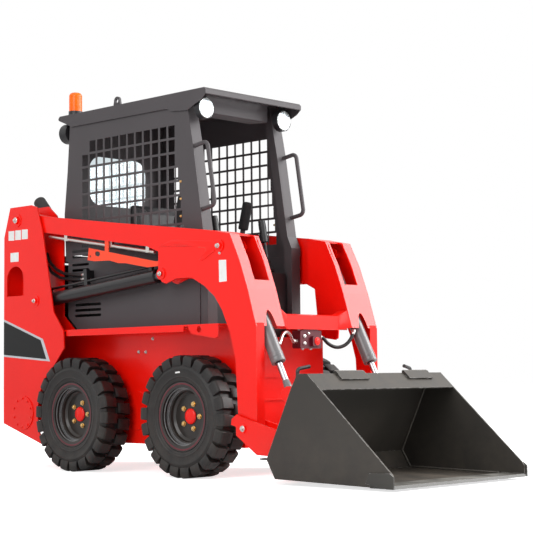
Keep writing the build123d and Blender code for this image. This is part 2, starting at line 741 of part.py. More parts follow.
with BuildPart() as rear_door:
    with BuildSketch(facing(-1048)):
        with Locations((0, (door_low + door_high) / 2)):
            Rectangle(2 * door_half, door_high - door_low)
    extrude(amount=-18)
    with BuildSketch(facing(-1066)):
        with Locations((0, 900)):
            with GridLocations(1, 44, 1, 9):
                SlotOverall(380, 22, mode=Mode.ADD)
    extrude(amount=20, mode=Mode.SUBTRACT)
    for knuckle_z in knuckles:
        with BuildSketch(facing(-1048)):
            with Locations((door_axis[1], knuckle_z)):
                Rectangle(24, knuckle_tall + 12)
        extrude(amount=-18, mode=Mode.SUBTRACT)
        with BuildSketch(level(knuckle_z - knuckle_tall)):
            with Locations(door_axis):
                Circle(door_pin)
        extrude(amount=2 * knuckle_tall)
save(rear_door.part, "rear_door")

louvre_pitch = 30
louvre_slot = 15
louvres = (
    # middle x, z of the lowest, length, rows
    (-523, 977, 148, 6),
    (-458, 844, 226, 3),
)
with BuildPart() as side_panels:
    with BuildSketch(side(-cab_half)):
        Polygon((-555, deck + gap), (440, deck + gap), (440, 1150), (-630, 1150), (-630, 840), (-555, 775),
                align=None)
        for louvre_x, louvre_z, length, rows in louvres:
            for row in range(rows):
                with Locations((louvre_x, louvre_z + louvre_pitch * row)):
                    SlotOverall(length, louvre_slot, mode=Mode.SUBTRACT)
    extrude(amount=-sheet)
    mirror(about=Plane.XZ)
save(side_panels.part, "side_panels")

# ------------------------------------------------------------------ cab
cab_sill = 1150 + gap
cab_head = roof_top - sheet - gap
post_front = [(340, cab_head), (358, 1871), (393, 1700), (465, 1250), (494, 1187)]
post_depth = 52
cell_long = 64.6
cell_tall = 75
cell_bar = 12
screen_front = 261
screen_top = 1816
screen_rows = 8
for hand, sign in hands:
    with BuildPart() as cab_side:
        with BuildSketch(side(sign * cab_half)):
            Polygon(*post_front, (494, cab_sill), (-650, cab_sill), (-664, 1417), (-638, 1648),
                    (-618, 1895), (-614, cab_head), align=None)
            for row in range(screen_rows):
                row_z = screen_top - cell_tall * (row + 0.5)
                count = 11 if row == 0 else 12
                for column in range(count):
                    with Locations((screen_front - cell_long * (column + 0.5), row_z)):
                        Rectangle(cell_long - cell_bar, cell_tall - cell_bar, mode=Mode.SUBTRACT)
                spare = 71 * row / (screen_rows - 1) - cell_bar
                if spare > 10:
                    with Locations((screen_front + cell_bar / 2 + spare / 2 - 6, row_z)):
                        Rectangle(spare, cell_tall - cell_bar, mode=Mode.SUBTRACT)
            for row in range(2):
                with Locations((louvres[0][0], cab_sill + 22 + louvre_pitch * row)):
                    SlotOverall(louvres[0][2], louvre_slot, mode=Mode.SUBTRACT)
        extrude(amount=sign * sheet)
    save(cab_side.part, f"cab_side_{hand}")

with BuildPart() as front_posts:
    with BuildSketch(side(-(cab_half - sheet - gap))):
        Polygon(*post_front, (494, deck + gap), (494 - post_depth, deck + gap), (494 - post_depth, 1187),
                *shifted(reversed(post_front[:4]), -post_depth, 0), align=None)
    extrude(amount=-(post_width - sheet - gap))
    mirror(about=Plane.XZ)
save(front_posts.part, "front_posts")

roof_line = [(-708, 1957), (-699, 1950), (-636, 1925), (-590, 1905), (209, 1901), (235, 1884), (360, 1874),
             (471, 1919), (502, 1944), (502, 1964), (490, roof_top), (-696, roof_top), (-708, 1964)]
roof_void = [(-704, 1860), (203, 1860), (213, 1904), (237, 1888), (359, 1878), (368, 1881),
             (368, roof_top - sheet), (-694, roof_top - sheet), (-704, 1962)]
slot_size = (26, 46)
slot_pitch = (36, 60)
slots_at = (423, -5)
lamp_bay = 228
lamp_at = (290, 1884)
lamp_radius = 57
eye_at = (-222, 2004)
eye_bore = 12
with BuildPart() as cab_roof:
    with BuildSketch(side(roof_half)):
        Polygon(*roof_line, align=None)
    extrude(amount=2 * roof_half)
    with BuildSketch(side(roof_half - sheet)):
        Polygon(*roof_void, align=None)
    extrude(amount=2 * (roof_half - sheet), mode=Mode.SUBTRACT)
    for sign in (-1, 1):
        with BuildSketch(side(sign * (roof_half - sheet))):
            Polygon((200, 1860), (498, 1860), (498, 1960), (488, roof_top - sheet),
                    (200, roof_top - sheet), align=None)
        extrude(amount=sign * (roof_half - sheet - lamp_bay), mode=Mode.SUBTRACT)
        with BuildSketch(side(sign * lamp_bay)):
            Polygon((372, 1860), (498, 1860), (498, 1960), (488, roof_top - sheet),
                    (372, roof_top - sheet), align=None)
        extrude(amount=sign * lamp_bay, mode=Mode.SUBTRACT)
        with BuildSketch(side(sign * 336)):
            Polygon((eye_at[0] - 30, roof_top - 1), (eye_at[0] + 30, roof_top - 1),
                    (eye_at[0] + 24, eye_at[1]), (eye_at[0] - 24, eye_at[1]), align=None)
            with Locations(eye_at):
                Circle(24)
            with Locations(eye_at):
                Circle(eye_bore, mode=Mode.SUBTRACT)
        extrude(amount=sign * 12)
    with BuildSketch(level(roof_top - 3 * sheet)):
        with Locations(slots_at):
            with GridLocations(*slot_pitch, 2, 7):
                RectangleRounded(*slot_size, 8)
    extrude(amount=4 * sheet, mode=Mode.SUBTRACT)
save(cab_roof.part, "cab_roof")

window_half = 210
window_low = 1480
window_high = 1760
with BuildPart() as cab_rear:
    with BuildSketch(facing(-614)):
        with Locations((0, (cab_sill + 40 + cab_head) / 2)):
            Rectangle(2 * (cab_half - sheet - gap), cab_head - cab_sill - 40)
        with Locations((0, (window_low + window_high) / 2)):
            RectangleRounded(2 * window_half, window_high - window_low, 80, mode=Mode.SUBTRACT)
    extrude(amount=-sheet)
save(cab_rear.part, "cab_rear")

with BuildPart() as rear_glass:
    with BuildSketch(facing(-613.5)):
        with Locations((0, (window_low + window_high) / 2)):
            RectangleRounded(2 * (window_half - gap), window_high - window_low - 2 * gap, 80 - gap)
    extrude(amount=-5)
save(rear_glass.part, "rear_glass")

floor_top = 600
seat_base = floor_top + 280
console_tall = 450
bulkhead = -330
with BuildPart() as cab_floor:
    with BuildSketch(side(case_half - plate - gap)):
        Polygon((frame_front - plate - gap, floor_top), (frame_front - plate - gap, floor_top - 6),
                (bulkhead, floor_top - 6), (bulkhead, 1186),
                (-613, 1186), (-613, 1190), (bulkhead + 6, 1190), (bulkhead + 6, floor_top), align=None)
    extrude(amount=2 * (case_half - plate - gap))
    with BuildSketch(side(230)):
        Polygon((-200, floor_top), (120, floor_top), (160, seat_base), (bulkhead + 5, seat_base),
                (bulkhead + 5, floor_top), align=None)
    extrude(amount=460)
save(cab_floor.part, "cab_floor")

with BuildPart() as consoles:
    with BuildSketch(level(floor_top + gap)):
        for sign in (-1, 1):
            with Locations((410, sign * (case_half - 64))):
                Rectangle(110, 110)
    extrude(amount=console_tall)
save(consoles.part, "consoles")

seat_line = [(-210, gap), (170, gap), (200, 50), (190, 105), (-150, 85), (-190, 310), (-215, 570),
             (-270, 570),
             (-262, 310), (-230, 50)]
with BuildPart() as seat:
    with BuildSketch(side(220)):
        Polygon(*shifted(seat_line, 0, seat_base), align=None)
    extrude(amount=440)
save(seat.part, "seat")

lever_y = 178
console_top = floor_top + gap + console_tall
lever_base = (423, console_top + 12)
lever_top = (368, console_top + 286)
with BuildPart() as control_levers:
    with BuildSketch(level(console_top + gap)):
        for sign in (-1, 1):
            with Locations((410, sign * lever_y)):
                Circle(27)
    extrude(amount=60, taper=16)
    for sign in (-1, 1):
        with BuildSketch(along(lever_base, lever_top, sign * lever_y)):
            Circle(7)
        extrude(amount=180)
        with BuildSketch(along(lever_base, lever_top, sign * lever_y).offset(160)):
            Circle(19)
        extrude(amount=118)
save(control_levers.part, "control_levers")

lap_pivot = (-60, seat_base + 65)
lap_y = 240
pad_radius = 30
with BuildPart() as lap_bar:
    for sign in (-1, 1):
        with BuildLine(side(sign * lap_y)) as lap_path:
            FilletPolyline((-60, 975), (158, 1280), (205, 1456), radius=60)
        with BuildSketch(Plane(origin=lap_path.line @ 0, z_dir=lap_path.line % 0)):
            Circle(14)
        sweep()
        with BuildSketch(along((158, 1280), (205, 1456), sign * lap_y).offset(25)):
            Circle(pad_radius)
        extrude(amount=157)
        with BuildSketch(side(sign * 262)):
            with Locations(lap_pivot):
                Circle(38)
        extrude(amount=sign * 28)
        with BuildSketch(side(sign * 300)):
            with Locations(lap_pivot):
                Circle(14)
        extrude(amount=sign * 50)
save(lap_bar.part, "lap_bar")

with BuildPart() as lap_brackets:
    with BuildSketch(side(-(cab_half - sheet - gap))):
        with Locations(lap_pivot):
            Circle(36)
            Circle(14 + pin_fit, mode=Mode.SUBTRACT)
    extrude(amount=-(cab_half - sheet - gap - 270))
    mirror(about=Plane.XZ)
save(lap_brackets.part, "lap_brackets")

grab_reach = 90
grab_radius = 11
face_tilt = atan2(465 - 393, 1700 - 1250)
grab_out = (grab_reach * cos(face_tilt), grab_reach * sin(face_tilt))


def post_face(z):
    return 393 + (1700 - z) * (465 - 393) / (1700 - 1250) + gap


grab_ends = [(post_face(1688), 1688), (post_face(1356), 1356)]
grab_bends = [(x + grab_out[0], z + grab_out[1]) for x, z in grab_ends]
with BuildPart() as grab_handles:
    for sign in (-1, 1):
        with BuildLine(side(sign * 331)) as grab_path:
            FilletPolyline(grab_ends[0], *grab_bends, grab_ends[1], radius=28)
        with BuildSketch(Plane(origin=grab_path.line @ 0, z_dir=grab_path.line % 0)):
            Circle(grab_radius)
        sweep()
save(grab_handles.part, "grab_handles")

lamp_front = 440
lamp_deep = 38
horn_at = (303, 1880)
with BuildPart() as lamp_housings:
    for sign in (-1, 1):
        with BuildSketch(facing(lamp_front - lamp_deep)):
            with Locations((sign * lamp_at[0], lamp_at[1])):
                Circle(lamp_radius)
        extrude(amount=lamp_deep - 10)
        with BuildSketch(facing(lamp_front - lamp_deep + 4)):
            with Locations((sign * lamp_at[0], (lamp_at[1] + 50 + cab_head) / 2)):
                Rectangle(30, cab_head - lamp_at[1] - 50)
        extrude(amount=12)
        with BuildSketch(facing(-640)):
            with Locations((sign * horn_at[0], horn_at[1])):
                Circle(lamp_radius)
        extrude(amount=-56)
        with BuildSketch(facing(-650)):
            with Locations((sign * horn_at[0], (horn_at[1] + 50 + cab_head) / 2)):
                Rectangle(30, cab_head - horn_at[1] - 50)
        extrude(amount=-20)
save(lamp_housings.part, "lamp_housings")

with BuildPart() as lamp_lenses:
    for sign in (-1, 1):
        with BuildSketch(facing(lamp_front - 10 + gap)):
            with Locations((sign * lamp_at[0], lamp_at[1])):
                Circle(lamp_radius - 5)
        extrude(amount=10)
        with BuildSketch(facing(-696 - gap)):
            with Locations((sign * horn_at[0], horn_at[1])):
                Circle(lamp_radius - 6)
        extrude(amount=-7)
save(lamp_lenses.part, "lamp_lenses")

beacon_at = (-662, -270)
with BuildPart() as beacon_base:
    with BuildSketch(level(roof_top + gap)):
        with Locations(beacon_at):
            Circle(40)
    extrude(amount=34)
save(beacon_base.part, "beacon_base")

with BuildPart() as beacon_lens:
    with BuildSketch(level(roof_top + 34 + 2 * gap)):
        with Locations(beacon_at):
            Circle(37)
    extrude(amount=108)
    fillet(beacon_lens.edges().group_by(Axis.Z)[-1], 22)
save(beacon_lens.part, "beacon_lens")

with BuildPart() as tail_lamps:
    with BuildSketch(facing(tower_rear + plate - gap)):
        for sign in (-1, 1):
            with Locations((sign * (tower_outer - 64), deck + 86)):
                RectangleRounded(70, 160, 12)
    extrude(amount=-7)
save(tail_lamps.part, "tail_lamps")

exhaust_y = -250
exhaust_radius = 36
with BuildPart() as exhaust:
    with BuildLine(side(exhaust_y)):
        exhaust_path = FilletPolyline((-906, hood_top + gap), (-906, 1410), (-1030, 1536), radius=90)
    with BuildSketch(level(hood_top + gap)):
        with Locations((-906, exhaust_y)):
            Circle(exhaust_radius)
    sweep(path=exhaust_path)
    fillet(exhaust.faces().sort_by(Axis.X)[0].edges(), 14)
save(exhaust.part, "exhaust")

# ------------------------------------------------------------------ pieces on the arms
bar_line = [(-334, 1202), (205, 1098), (245, 1098), (245, 1078), (220, 1072), (145, 1070), (-30, 1102),
            (-90, 1106),
            (-160, 1124), (-290, 1128), (-345, 1137)]


def beam_under(x):
    """Height of the beam's lower edge."""
    return 1264 - (x + 399) * (1264 - 1178) / (399 + 149)


with BuildPart() as lock_bar:
    with BuildSketch(side(-440.7)):
        Polygon(*bar_line, align=None)
        with Locations((-262, 1166)):
            SlotOverall(44, 26, rotation=-10, mode=Mode.SUBTRACT)
        with Locations((-322, 1156)):
            Circle(7, mode=Mode.SUBTRACT)
        Polygon((-200, 1170), (-200, beam_under(-200) - gap), (-170, beam_under(-170) - gap), (-170, 1165),
                align=None)
    extrude(amount=-5.5)
save(lock_bar.part, "lock_bar")

pipe_drop = 20
pipe_radius = 10
pipe_line = [(-700, beam_under(-700) - pipe_drop), (180, beam_under(180) - pipe_drop - 6)]
with BuildPart() as arm_pipes:
    for sign in (-1, 1):
        with BuildSketch(along(*pipe_line, sign * 420)):
            Circle(pipe_radius)
        extrude(amount=cylinder_run(*pipe_line))
        for x in (-560, -180, 120):
            with BuildSketch(side(sign * 431)):
                Polygon((x, beam_under(x) - gap), (x + 26, beam_under(x + 26) - gap),
                        (x + 26, beam_under(x) - pipe_drop - 14), (x, beam_under(x) - pipe_drop - 14),
                        align=None)
            extrude(amount=sign * 22)
save(arm_pipes.part, "arm_pipes")
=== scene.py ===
import bpy
import bmesh
import math
from mathutils import Matrix, Vector, noise


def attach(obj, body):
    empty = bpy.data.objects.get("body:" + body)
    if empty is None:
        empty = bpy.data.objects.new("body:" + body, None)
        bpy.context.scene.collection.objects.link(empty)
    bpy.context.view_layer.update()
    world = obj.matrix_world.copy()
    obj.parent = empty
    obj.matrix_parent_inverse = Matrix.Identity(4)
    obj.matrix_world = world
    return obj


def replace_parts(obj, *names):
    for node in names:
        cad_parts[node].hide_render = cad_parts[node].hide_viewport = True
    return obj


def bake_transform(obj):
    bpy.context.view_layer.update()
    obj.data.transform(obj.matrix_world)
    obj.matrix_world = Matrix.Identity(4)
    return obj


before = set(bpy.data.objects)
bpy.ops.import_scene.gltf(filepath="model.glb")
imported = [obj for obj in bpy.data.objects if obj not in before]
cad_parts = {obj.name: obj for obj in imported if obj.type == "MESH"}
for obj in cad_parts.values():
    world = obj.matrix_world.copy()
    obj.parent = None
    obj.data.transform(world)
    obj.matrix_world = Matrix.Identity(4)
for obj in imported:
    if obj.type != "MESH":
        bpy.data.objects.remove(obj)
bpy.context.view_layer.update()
scene = bpy.context.scene

machineX = -0.371  # machine x is measured from the point midway between the axles
hands = (("right", -1), ("left", 1))
axles = (("front", 1), ("rear", -1))


def spot(x, y, z):
    # machine millimetres to the part's metres
    return Vector((x / 1000 + machineX, y / 1000, z / 1000))


def tone(red, green, blue):
    # a colour as a screen shows it, 0 to 255, made linear
    def linear(c):
        c /= 255
        return c / 12.92 if c <= 0.04045 else ((c + 0.055) / 1.055) ** 2.4

    return (linear(red), linear(green), linear(blue), 1)


def newObject(name, data):
    obj = bpy.data.objects.new(name, data)
    scene.collection.objects.link(obj)
    return obj


def wire(tree, node, links):
    # a socket is linked, a plain value is set
    for socket, source in links.items():
        if isinstance(source, bpy.types.NodeSocket):
            tree.links.new(source, node.inputs[socket])
        else:
            node.inputs[socket].default_value = source


def join(tree, kind, links=None, **settings):
    # adds a node, sets it up and wires its inputs
    node = tree.nodes.new(kind)
    for key, value in settings.items():
        setattr(node, key, value)
    wire(tree, node, links or {})
    return node


def maths(tree, operation, *values, clamp=False):
    node = join(tree, "ShaderNodeMath", dict(enumerate(values)), operation=operation, use_clamp=clamp)
    return node.outputs[0]


print("camera, floor and lamps")
cameraView = {"place": (5.483, -5.447, 0.518), "heading": 134.102, "tilt": 4.159, "roll": -0.553,
              "lens": 99.09}


def addCamera(s):
    heading, tilt, roll = (math.radians(s[k]) for k in ("heading", "tilt", "roll"))
    look = Vector((math.cos(heading) * math.cos(tilt), math.sin(heading) * math.cos(tilt), math.sin(tilt)))
    right = look.cross(Vector((0, 0, 1))).normalized()
    up = right.cross(look)
    right, up = right * math.cos(roll) + up * math.sin(roll), up * math.cos(roll) - right * math.sin(roll)
    data = bpy.data.cameras.new("mainCamera")
    data.lens = s["lens"]
    data.sensor_width = 36
    data.clip_end = 100
    camera = newObject("mainCamera", data)
    camera.matrix_world = Matrix.Translation(s["place"]) @ Matrix((right, up, -look)).transposed().to_4x4()
    scene.camera = camera


addCamera(cameraView)

studio = {
    "floorHalf": 40, "floorDrop": 0.0005, "floorTone": (0.9, 0.9, 0.9, 1), "floorGlow": 0.72,
    "worldStrength": 0.38, "background": 1.0, "aim": (0, 0, 0.8),
    "lamps": (
        # name, place, size, power
        ("leftSoft", (5.2, 6.2, 5.4), 6.5, 1150),
        ("rightSoft", (1.5, -7.0, 4.5), 5.0, 310),
        ("topSoft", (-0.5, 0.0, 7.5), 6.0, 110),
        ("frontSoft", (7.0, 0.5, 3.2), 3.0, 120),
    ),
}


def addFloor(s):
    mesh = bpy.data.meshes.new("floor")
    h, z = s["floorHalf"], -s["floorDrop"]
    mesh.from_pydata([(-h, -h, z), (h, -h, z), (h, h, z), (-h, h, z)], [], [(0, 1, 2, 3)])
    floor = newObject("floor", mesh)
    material = bpy.data.materials.new("paleFloor")
    material.use_nodes = True
    tree = material.node_tree
    tree.nodes.clear()
    matte = join(tree, "ShaderNodeBsdfDiffuse", {"Color": s["floorTone"]})
    glow = join(tree, "ShaderNodeEmission", {"Color": (1, 1, 1, 1), "Strength": s["floorGlow"]})
    both = join(tree, "ShaderNodeAddShader", {0: matte.outputs[0], 1: glow.outputs[0]})
    path = join(tree, "ShaderNodeLightPath")
    mix = join(tree, "ShaderNodeMixShader",
               {0: path.outputs["Is Camera Ray"], 1: matte.outputs[0], 2: both.outputs[0]})
    join(tree, "ShaderNodeOutputMaterial", {0: mix.outputs[0]})
    mesh.materials.append(material)


def addWorld(s):
    world = bpy.data.worlds.new("studioWorld")
    scene.world = world
    world.use_nodes = True
    tree = world.node_tree
    tree.nodes.clear()
    soft = join(tree, "ShaderNodeBackground", {"Color": (0.96, 0.98, 1, 1), "Strength": s["worldStrength"]})
    plain = join(tree, "ShaderNodeBackground", {"Color": (1, 1, 1, 1), "Strength": s["background"]})
    path = join(tree, "ShaderNodeLightPath").outputs
    mirrors = maths(tree, "MAXIMUM", path["Is Glossy Ray"], path["Is Transmission Ray"])
    seen = maths(tree, "MAXIMUM", path["Is Camera Ray"], mirrors)
    mix = join(tree, "ShaderNodeMixShader", {0: seen, 1: soft.outputs[0], 2: plain.outputs[0]})
    join(tree, "ShaderNodeOutputWorld", {0: mix.outputs[0]})


def addLamps(s):
    for name, place, size, power in s["lamps"]:
        data = bpy.data.lights.new(name, "AREA")
        data.size = size
        data.energy = power
        aim = Vector(s["aim"]) - Vector(place)
        turn = aim.to_track_quat("-Z", "Y").to_matrix().to_4x4()
        newObject(name, data).matrix_world = Matrix.Translation(place) @ turn


addFloor(studio)
addWorld(studio)
addLamps(studio)
scene.view_settings.view_transform = "Standard"

print("shared effects")


def newGroup(name, inputs, *outputs):
    # a shader group that is given a place; inputs are names with their first values
    tree = bpy.data.node_groups.new(name, "ShaderNodeTree")
    tree.interface.new_socket("Vector", in_out="INPUT", socket_type="NodeSocketVector")
    for label, value in inputs.items():
        kind = "NodeSocketVector" if isinstance(value, tuple) else "NodeSocketFloat"
        tree.interface.new_socket(label, in_out="INPUT", socket_type=kind).default_value = value
    for label in outputs:
        tree.interface.new_socket(label, in_out="OUTPUT", socket_type="NodeSocketFloat")
    return tree, tree.nodes.new("NodeGroupInput").outputs, tree.nodes.new("NodeGroupOutput").inputs


def ramp(tree, value, low, high):
    # 0 at low, 1 at high
    return join(tree, "ShaderNodeMapRange", {"Value": value, "From Min": low, "From Max": high}).outputs[0]


def clouds(tree, place, scale, detail, rough=0.5):
    links = {"Vector": place, "Scale": scale, "Detail": detail, "Roughness": rough}
    return join(tree, "ShaderNodeTexNoise", links).outputs["Fac"]


def makeGrain():
    # cloudy shade about 1, and a fine height
    tree, given, result = newGroup("paintGrain", {"Scale": 90, "Cloud": 3, "Amount": 0.1}, "Shade", "Height")
    swing = maths(tree, "SUBTRACT", clouds(tree, given["Vector"], given["Cloud"], 5), 0.5)
    fine = clouds(tree, given["Vector"], given["Scale"], 6)
    both = maths(tree, "MULTIPLY_ADD", maths(tree, "SUBTRACT", fine, 0.5), 0.5, swing)
    shade = maths(tree, "MULTIPLY_ADD", maths(tree, "MULTIPLY", both, 4.0), given["Amount"], 1.0)
    tree.links.new(shade, result["Shade"])
    tree.links.new(fine, result["Height"])
    return tree


def makeEdgeWear():
    # where a rounded corner's normal leaves the flat one, broken up by a coarse noise
    tree, given, result = newGroup("edgeWear", {"Width": 0.003, "Breakup": 40, "Reach": 0.5}, "Mask")
    bent = join(tree, "ShaderNodeBevel", {"Radius": given["Width"]}, samples=4).outputs[0]
    flat = join(tree, "ShaderNodeNewGeometry").outputs["Normal"]
    facing = join(tree, "ShaderNodeVectorMath", {0: bent, 1: flat}, operation="DOT_PRODUCT")
    edge = ramp(tree, facing.outputs["Value"], 0.985, 0.86)
    least = maths(tree, "SUBTRACT", 1.0, given["Reach"])
    patch = clouds(tree, given["Vector"], given["Breakup"], 8)
    broken = ramp(tree, patch, least, maths(tree, "ADD", least, 0.12))
    tree.links.new(maths(tree, "MULTIPLY", edge, broken, clamp=True), result["Mask"])
    return tree


def makeDust():
    # settles on what faces up and is splashed up from the ground
    tree, given, result = newGroup("dust", {"Top": 0.3, "Splash": 0.3, "Height": 0.5}, "Mask")
    flat = join(tree, "ShaderNodeNewGeometry").outputs["Normal"]
    up = join(tree, "ShaderNodeSeparateXYZ", {0: flat}).outputs["Z"]
    level = join(tree, "ShaderNodeSeparateXYZ", {0: given["Vector"]}).outputs["Z"]
    top = maths(tree, "MULTIPLY", ramp(tree, up, 0.3, 1.0), given["Top"])
    splash = maths(tree, "MULTIPLY", ramp(tree, level, given["Height"], 0.0), given["Splash"])
    cloud = ramp(tree, clouds(tree, given["Vector"], 9, 9, 0.7), 0.35, 0.7)
    mask = maths(tree, "MULTIPLY", maths(tree, "ADD", top, splash), cloud, clamp=True)
    tree.links.new(mask, result["Mask"])
    return tree


def makeScratches():
    # long thin lines that follow one direction
    tree, given, result = newGroup("scratches", {"Stretch": (4, 90, 90), "Reach": 0.4}, "Mask")
    drawn = join(tree, "ShaderNodeVectorMath", {0: given["Vector"], 1: given["Stretch"]},
                 operation="MULTIPLY")
    lines = clouds(tree, drawn.outputs[0], 1.0, 7, 0.65)
    least = maths(tree, "SUBTRACT", 1.0, given["Reach"])
    tree.links.new(ramp(tree, lines, least, maths(tree, "ADD", least, 0.1)), result["Mask"])
    return tree


grain = makeGrain()
edgeWear = makeEdgeWear()
dust = makeDust()
scratches = makeScratches()

print("materials")
finish = {}


def effect(tree, group, place, settings):
    return join(tree, "ShaderNodeGroup", {"Vector": place} | settings, node_tree=group).outputs


def blendColour(tree, factor, first, second):
    return join(tree, "ShaderNodeMix", {0: factor, 6: first, 7: second}, data_type="RGBA").outputs[2]


def bump(tree, height, strength, distance, under=None):
    links = {"Height": height, "Strength": strength, "Distance": distance}
    if under:
        links["Normal"] = under
    return join(tree, "ShaderNodeBump", links).outputs[0]


def newMaterial(name, colour, scale, cloud, amount):
    # a new finish; its colour is made lighter and darker by the grain
    finish[name] = bpy.data.materials.new(name)
    finish[name].use_nodes = True
    tree = finish[name].node_tree
    place = tree.nodes.new("ShaderNodeTexCoord").outputs["Object"]
    fine = effect(tree, grain, place, {"Scale": scale, "Cloud": cloud, "Amount": amount})
    base = join(tree, "ShaderNodeVectorMath", {0: tone(*colour)[:3], "Scale": fine["Shade"]},
                operation="SCALE")
    return tree, tree.nodes["Principled BSDF"], place, fine["Height"], base.outputs[0]


paints = {
    # clean, worn and dusty colour, roughness, coat, cloud, edge width (mm) and reach, top dust, splash, bump
    "redPaint": ((246, 16, 2), (214, 92, 74), (196, 110, 84), 0.27, 0.12, 0.045, 2.5, 0.5, 0.05, 0.1, 0.05),
    "lockPaint": ((252, 72, 36), (250, 130, 96), (200, 140, 110), 0.4, 0.2, 0.04, 2, 0.5, 0.05, 0, 0.05),
    "cabPaint": ((72, 68, 70), (118, 116, 118), (128, 122, 116), 0.5, 0, 0.07, 2, 0.47, 0.16, 0, 0.08),
    "bucketPaint": ((52, 49, 45), (156, 154, 152), (132, 118, 102), 0.46, 0.06, 0.1, 3.5, 0.56,
                    0.22, 0.12, 0.12),
    "rimPaint": ((34, 30, 28), (78, 73, 70), (112, 92, 76), 0.34, 0.3, 0.06, 2.5, 0.5, 0, 0.2, 0.06),
    "barrelPaint": ((19, 17, 19), (120, 116, 120), (112, 104, 100), 0.32, 0.4, 0.06, 2, 0.48, 0.05, 0, 0.05),
    "greyPaint": ((108, 107, 108), (176, 174, 172), (150, 142, 134), 0.3, 0.4, 0.06, 2, 0.5, 0.05, 0, 0.05),
    "edgeSteel": ((58, 56, 52), (176, 176, 178), (172, 168, 160), 0.4, 0.1, 0.12, 2, 0.55, 0.6, 0, 0.1),
    "weldSteel": ((96, 92, 86), (190, 188, 186), (130, 120, 108), 0.4, 0.1, 0.2, 2, 0.7, 0.1, 0.1, 0.4),
    "valvePaint": ((92, 14, 30), (170, 60, 70), (110, 60, 60), 0.35, 0.3, 0.1, 2, 0.5, 0.05, 0, 0.1),
    "engineIron": ((52, 50, 50), (110, 100, 92), (96, 86, 76), 0.62, 0, 0.14, 2, 0.5, 0.3, 0, 0.5),
}


def makePaint(name, colour, worn, dusty, rough, coat, cloud, edgeWidth, edgeReach, top, splash, grainBump):
    tree, shader, place, height, base = newMaterial(name, colour, 120, 2.6, cloud)
    edge = effect(tree, edgeWear, place,
                  {"Width": edgeWidth / 1000, "Breakup": 34, "Reach": edgeReach})["Mask"]
    powder = effect(tree, dust, place, {"Top": top, "Splash": splash, "Height": 0.45})["Mask"]
    base = blendColour(tree, edge, base, tone(*worn))
    dull = maths(tree, "MULTIPLY_ADD", powder, 0.5, rough)
    wire(tree, shader, {
        "Base Color": blendColour(tree, powder, base, tone(*dusty)),
        "Roughness": maths(tree, "MULTIPLY_ADD", height, 0.1, dull),
        "Specular IOR Level": 0.34,
        "Coat Weight": coat,
        "Coat Roughness": 0.12,
        "Normal": bump(tree, height, grainBump, 0.001),
    })


bareMetals = {
    # colour, roughness, how the scratches run, their depth
    "rodChrome": ((176, 176, 180), 0.32, (60, 60, 9), 0),
    "fittingSteel": ((206, 204, 200), 0.26, (200, 200, 200), 0.1),
    "zincGold": ((226, 190, 130), 0.24, (160, 160, 160), 0.1),
    "pipeMetal": ((214, 212, 206), 0.3, (20, 240, 240), 0.08),
}


def makeBareMetal(name, colour, rough, stretch, lineDepth):
    tree, shader, place, height, base = newMaterial(name, colour, 160, 8, 0.08)
    lines = effect(tree, scratches, place, {"Stretch": stretch, "Reach": 0.5})["Mask"]
    wire(tree, shader, {
        "Base Color": base,
        "Metallic": 1,
        "Roughness": maths(tree, "MULTIPLY_ADD", lines, 0.14, rough),
        "Normal": bump(tree, lines, lineDepth, 0.0005),
    })


rubbers = {
    # colour, roughness, dust, grain scale, grain depth
    "tyreRubber": ((22, 20, 20), 0.5, 0.35, 260, 0.35),
    "hoseRubber": ((30, 29, 30), 0.4, 0, 400, 0.2),
    "padFoam": ((26, 26, 28), 0.62, 0, 500, 0.5),
    "gripPlastic": ((34, 34, 36), 0.38, 0, 600, 0.12),
}


def makeRubber(name, colour, rough, dustLevel, grainScale, depth):
    tree, shader, place, height, base = newMaterial(name, colour, grainScale, 6, 0.14)
    powder = effect(tree, dust, place, {"Top": dustLevel * 0.4, "Splash": dustLevel, "Height": 0.75})["Mask"]
    edge = effect(tree, edgeWear, place, {"Width": 0.0025, "Breakup": 60, "Reach": 0.56})["Mask"]
    base = blendColour(tree, edge, base, tuple(2 * c for c in tone(*colour)[:3]) + (1,))
    wire(tree, shader, {
        "Base Color": blendColour(tree, powder, base, tone(92, 84, 76)),
        "Roughness": rough,
        "Specular IOR Level": 0.4,
        "Normal": bump(tree, height, depth, 0.0015),
    })


def makeLeather(name, colour):
    tree, shader, place, height, base = newMaterial(name, colour, 300, 9, 0.1)
    cells = join(tree, "ShaderNodeTexVoronoi", {"Vector": place, "Scale": 420}, feature="DISTANCE_TO_EDGE")
    low = bump(tree, cells.outputs["Distance"], 0.35, 0.001)
    wire(tree, shader, {
        "Base Color": base,
        "Roughness": 0.5,
        "Sheen Weight": 0.1,
        "Normal": bump(tree, height, 0.15, 0.001, low),
    })


def makeGlass(name, colour):
    tree, shader, place, height, base = newMaterial(name, colour, 14, 5, 0.05)
    wire(tree, shader, {
        "Base Color": base,
        "Roughness": maths(tree, "MULTIPLY", height, 0.06),
        "Transmission Weight": 1,
        "IOR": 1.45,
    })


smoothFaces = {
    # colour, roughness, glow, transmission, coat; the glow is painted light, as none of these lenses or
    # buttons is lit
    "amberLens": ((255, 104, 0), 0.24, 0.12, 0, 0),
    "redLens": ((150, 8, 10), 0.2, 0.03, 0.2, 0.3),
    "ledFace": ((226, 230, 234), 0.2, 0.08, 0, 0.3),
    "labelBlack": ((9, 9, 10), 0.3, 0, 0, 0),
    "labelSilver": ((196, 198, 202), 0.3, 0, 0, 0),
    "labelWhite": ((232, 232, 230), 0.35, 0, 0, 0),
}


